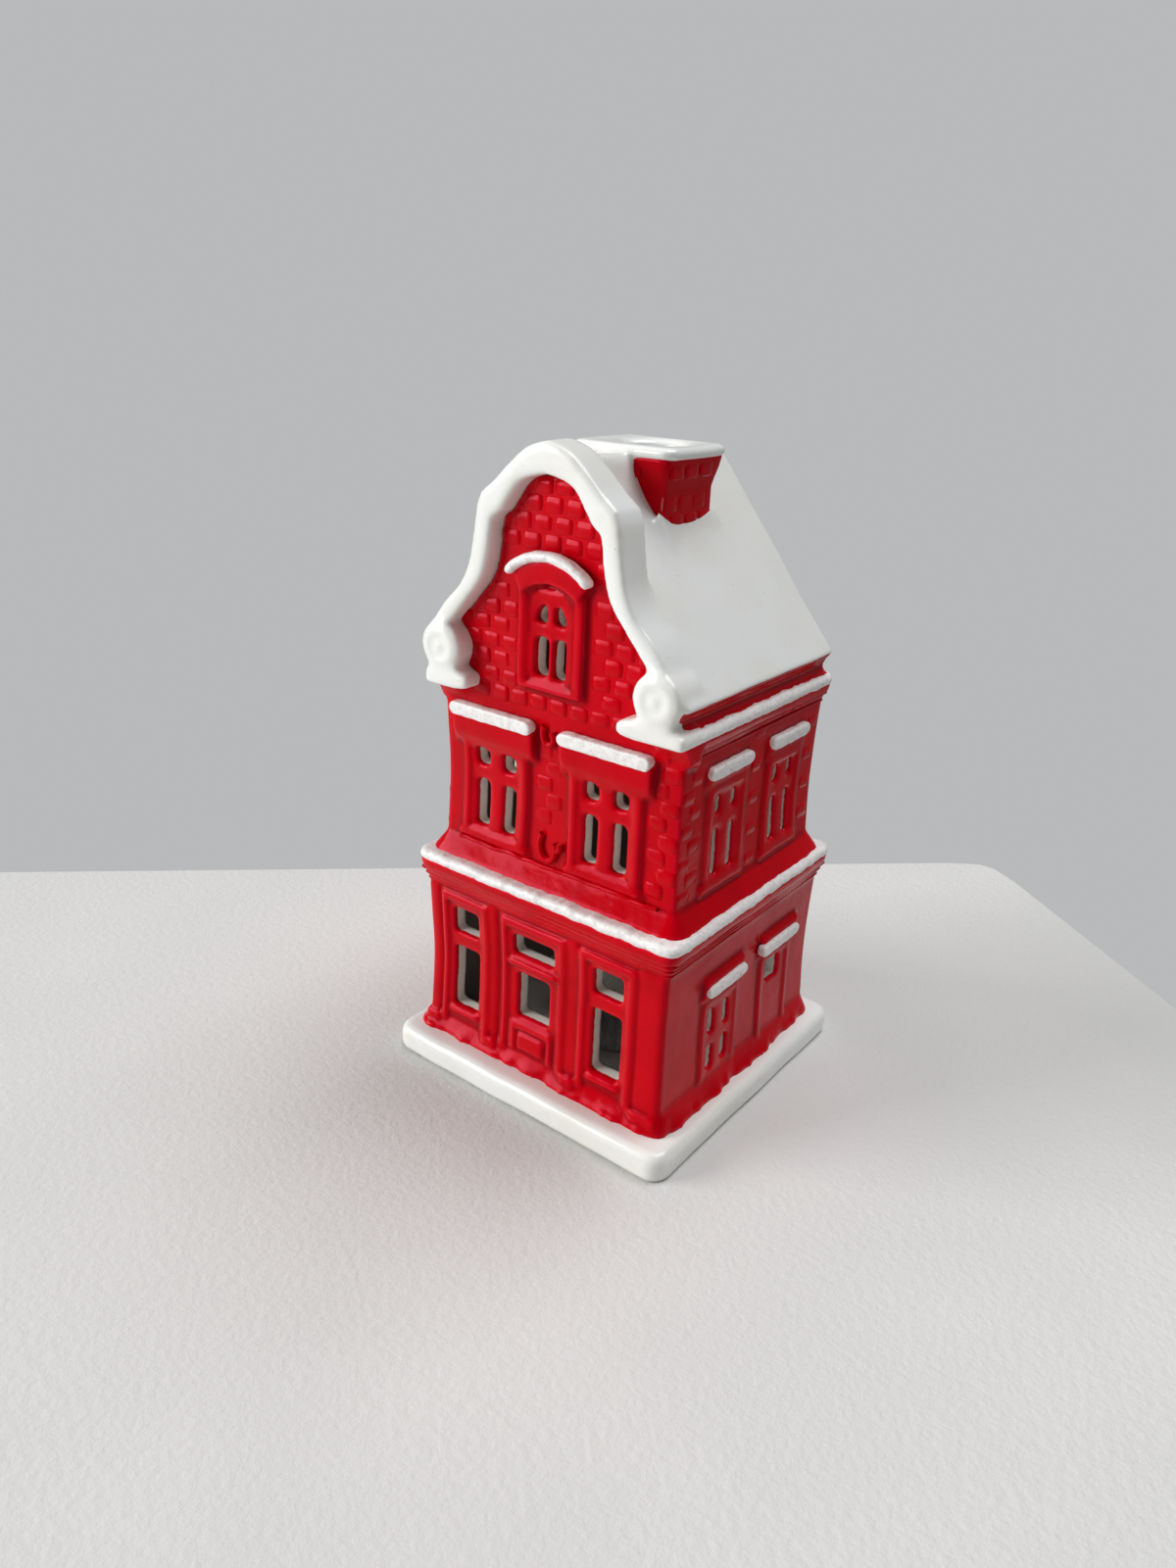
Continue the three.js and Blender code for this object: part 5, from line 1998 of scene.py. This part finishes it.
@dataclass
class Tealight:
    """The candle that the house holds: a fluted aluminium cup, wax, a wick foot and a braided wick."""

    sides: int = 264
    sheet: float = 0.35

    def turn(self, name: str, outline: Outline, sides: int) -> bpy.types.Object:
        """Turns a closed outline of radius and height about the candle's axis.

        Args:
            name: the piece's name.
            outline: the section, starting and ending on the axis.
            sides: how many steps go round.

        Returns:
            The piece in millimetres, with its axis at the origin.
        """
        work = bmesh.new()
        angles = [2 * math.pi * k / sides for k in range(sides)]
        rings = []
        for r, z in outline:
            ring = arc((0.0, 0.0), (r, r), angles) if r > 0.0 else [(0.0, 0.0)]
            rings.append([work.verts.new((x, y, z)) for x, y in ring])
        for low, high in zip(rings, rings[1:]):
            for k in range(sides):
                a, b = low[k % len(low)], low[(k + 1) % len(low)]
                c, d = high[(k + 1) % len(high)], high[k % len(high)]
                work.faces.new([v for i, v in enumerate((a, b, c, d)) if v not in (a, b, c, d)[:i]])
        bmesh.ops.recalc_face_normals(work, faces=work.faces)
        mesh = bpy.data.meshes.new(name)
        work.to_mesh(mesh)
        work.free()
        return put_in_scene(name, mesh)

    def set_down(self, obj: bpy.types.Object, centre: np.ndarray) -> bpy.types.Object:
        """Moves a turned piece's mesh to the candle's place, in metres.

        Args:
            obj: the piece, in millimetres.
            centre: the candle's place.

        Returns:
            The piece.
        """
        write_points(obj.data, read_points(obj.data) + centre)
        return obj

    def build(self) -> None:
        """Makes the four pieces."""
        low, high = node_box("candle_cup")
        wax_high = node_box("candle_wax")[1]
        wick_high = node_box("candle_wick")[1]
        foot_low, foot_high = node_box("wick_foot")
        centre = np.array([(low[0] + high[0]) / 2, (low[1] + high[1]) / 2, low[2]])
        radius, height = (high[0] - low[0]) / 2 - 0.05, high[2] - low[2]
        t = self.sheet
        rim = height - 0.1
        walls = [(radius - 0.35, z) for z in np.linspace(1.0, rim - 1.6, 12)]
        inner = [(radius - 0.35 - t, z) for z in np.linspace(rim - 1.6, 1.0, 12)]
        outline = [
            (0.0, 0.05), (radius - 1.6, 0.05), (radius - 0.6, 0.35), *walls, (radius - 0.1, rim - 0.9),
            (radius, rim - 0.35), (radius - 0.25, rim), (radius - 0.6, rim - 0.3), *inner,
            (radius - 1.2, 0.75), (0.0, 0.6),
        ]
        cup = self.turn("tealight_cup", outline, self.sides)
        grow(cup, flute_tree(), Finish.TIN, Count=44.0, Depth=0.32, Foot=1.0, Rim=rim - 1.4)
        dress(self.set_down(cup, centre), Finish.TIN, CANDLE, ["candle_cup"])
        wax_top = wax_high[2] - low[2]
        edge = radius - 0.35 - t - 0.45
        outline = [
            (0.0, 1.1), (edge - 0.6, 1.1), (edge, 1.6), (edge, wax_top - 0.5), (edge - 0.3, wax_top - 0.12),
            (edge - 1.3, wax_top - 0.3), (edge * 0.6, wax_top - 0.42), (4.0, wax_top - 0.3),
            (1.4, wax_top - 0.02), (0.0, wax_top),
        ]
        wax = self.turn("tealight_wax", outline, 96)
        dress(self.set_down(wax, centre), Finish.WAX, CANDLE, ["candle_wax"])
        foot_radius = (foot_high[0] - foot_low[0]) / 2
        outline = [
            (0.0, 0.65), (foot_radius, 0.65), (foot_radius, 0.85), (2.0, 0.95), (1.3, 1.3), (0.0, 1.35),
        ]
        foot = self.turn("tealight_wick_foot", outline, 48)
        dress(self.set_down(foot, centre), Finish.TIN, CANDLE, ["wick_foot"])
        self.braid(centre, wax_top - 1.0, wick_high[2] - low[2] - 0.2)

    def braid(self, centre: np.ndarray, start: float, end: float) -> None:
        """Makes the wick from three strands laid round each other.

        Args:
            centre: the candle's place.
            start: where the wick starts, above the cup's foot.
            end: its tip.
        """
        mould = Mould()
        for strand in range(3):
            path = []
            for t in np.linspace(0.0, 1.0, 40):
                a = 2 * math.pi * (strand / 3 + 2.4 * t)
                lean = 0.35 * t * t
                path.append((0.3 * math.cos(a) + lean, 0.3 * math.sin(a), start + (end - start) * t))
            mould.rod(path, 0.36, 8)
        wick = mould.cast("tealight_wick", 0.12, 1, wave=(2.0, 0.05, 4.4))
        co = read_points(wick.data) + centre * MM
        wick.data.vertices.foreach_set("co", co.ravel())
        wick.data.update()
        dress(wick, Finish.COTTON, CANDLE, ["candle_wick"])


# ---------------------------------------------------------------- stage
@dataclass
class Studio:
    """A pale table top, soft daylight from the street side, and the camera."""

    camera_at: Point = (147.9, -215.3, 179.5)
    heading: float = 36.87
    pitch: float = -22.07
    roll: float = 2.31
    lens: float = 25.93
    daylight: float = 3.6
    surround: str = "#bbbcbd"
    room_light: float = 0.37
    room_seen: float = 0.97
    table_corner: Pair = (39.8, 179.9)
    table_reach: float = 4000.0

    def set_camera(self) -> None:
        """Puts the camera in front of the street corner, above the house."""
        data = bpy.data.cameras.new("view")
        data.lens = self.lens
        data.sensor_width = 36.0
        data.clip_start = 0.005
        camera = bpy.data.objects.new("view", data)
        turn = (
            Matrix.Rotation(math.radians(self.heading), 4, "Z")
            @ Matrix.Rotation(math.radians(90 + self.pitch), 4, "X")
            @ Matrix.Rotation(math.radians(self.roll), 4, "Z")
        )
        camera.matrix_world = Matrix.Translation(Vector(self.camera_at) * MM) @ turn
        bpy.context.scene.collection.objects.link(camera)
        bpy.context.scene.camera = camera

    def add_light(
        self, name: str, at: Point, size: float, power: float, colour: str, aim: Point = (0, 0, 75),
    ) -> None:
        """Adds a square soft light.

        Args:
            name: its name.
            at: where it is, in millimetres.
            size: its side, in millimetres.
            power: its power, in watts.
            colour: its sRGB colour.
            aim: the point that it looks at.
        """
        data = bpy.data.lights.new(name, "AREA")
        data.size = size * MM
        data.energy = power
        data.color = srgb(colour)[:3]
        light = bpy.data.objects.new(name, data)
        way = (Vector(at) - Vector(aim)).to_track_quat("Z", "Y")
        light.matrix_world = Matrix.Translation(Vector(at) * MM) @ way.to_matrix().to_4x4()
        bpy.context.scene.collection.objects.link(light)

    def build(self) -> None:
        """Sets up the floor, the lights, the surroundings and the camera."""
        mesh = bpy.data.meshes.new("table_top")
        corner, reach = Vector(self.table_corner), self.table_reach
        along, back = Vector((-0.727, -0.686)), Vector((0.78, -0.626))
        bend = [corner + along * a + back * b for a, b in ((16, 0), (5, 1.6), (1.6, 5), (0, 16))]
        far = [corner + back * reach, corner + back * reach + along * reach, corner + along * reach]
        outline = [*bend, *far][::-1]
        mesh.from_pydata([(p.x * MM, p.y * MM, 0.0) for p in outline], [], [tuple(range(len(outline)))])
        floor = put_in_scene("table_top", mesh)
        mesh.materials.append(TableTop().build())
        world = bpy.data.worlds.new("studio")
        world.use_nodes = True
        bpy.context.scene.world = world
        tree = world.node_tree
        background = tree.nodes["Background"]
        background.inputs["Color"].default_value = srgb(self.surround)
        seen = add_node(tree, "ShaderNodeLightPath", out="Is Camera Ray")
        span = {"Value": seen, "To Min": self.room_light, "To Max": self.room_seen}
        tree.links.new(add_node(tree, "ShaderNodeMapRange", span), background.inputs["Strength"])
        self.add_light("window_light", (-1850, -1800, 900), 1500, self.daylight * 20.0, "#ffffff")
        self.add_light("overhead_light", (300, 500, 1900), 1300, self.daylight * 8.4, "#fbfcff")
        bpy.context.scene.view_settings.view_transform = "Standard"
        self.set_camera()


def main() -> None:
    """Builds the house, its candle and the studio."""
    noise.seed_set(NOISE_SEED)
    Studio().build()
    bricks = Brickwork(running_bond_tree())
    ground, upper, gable = GroundStorey(), UpperStorey(), Gable()
    Slab().build()
    ground.build()
    SnowBand("string_course_snow", 36.5, 34.5, 54.8, 57.5, 2.65).build()
    upper.build()
    SnowBand("cornice_snow", 34.1, 30.6, 101.0, 103.9, 2.1, 3).build()
    Eaves().build()
    Roof(gable=gable).build()
    Chimney().build(bricks)
    WallBricks(upper, gable, bricks).build()
    Trim(bead_tree(), ground, upper).build()
    Tealight().build()


if __name__ == "__main__":
    main()
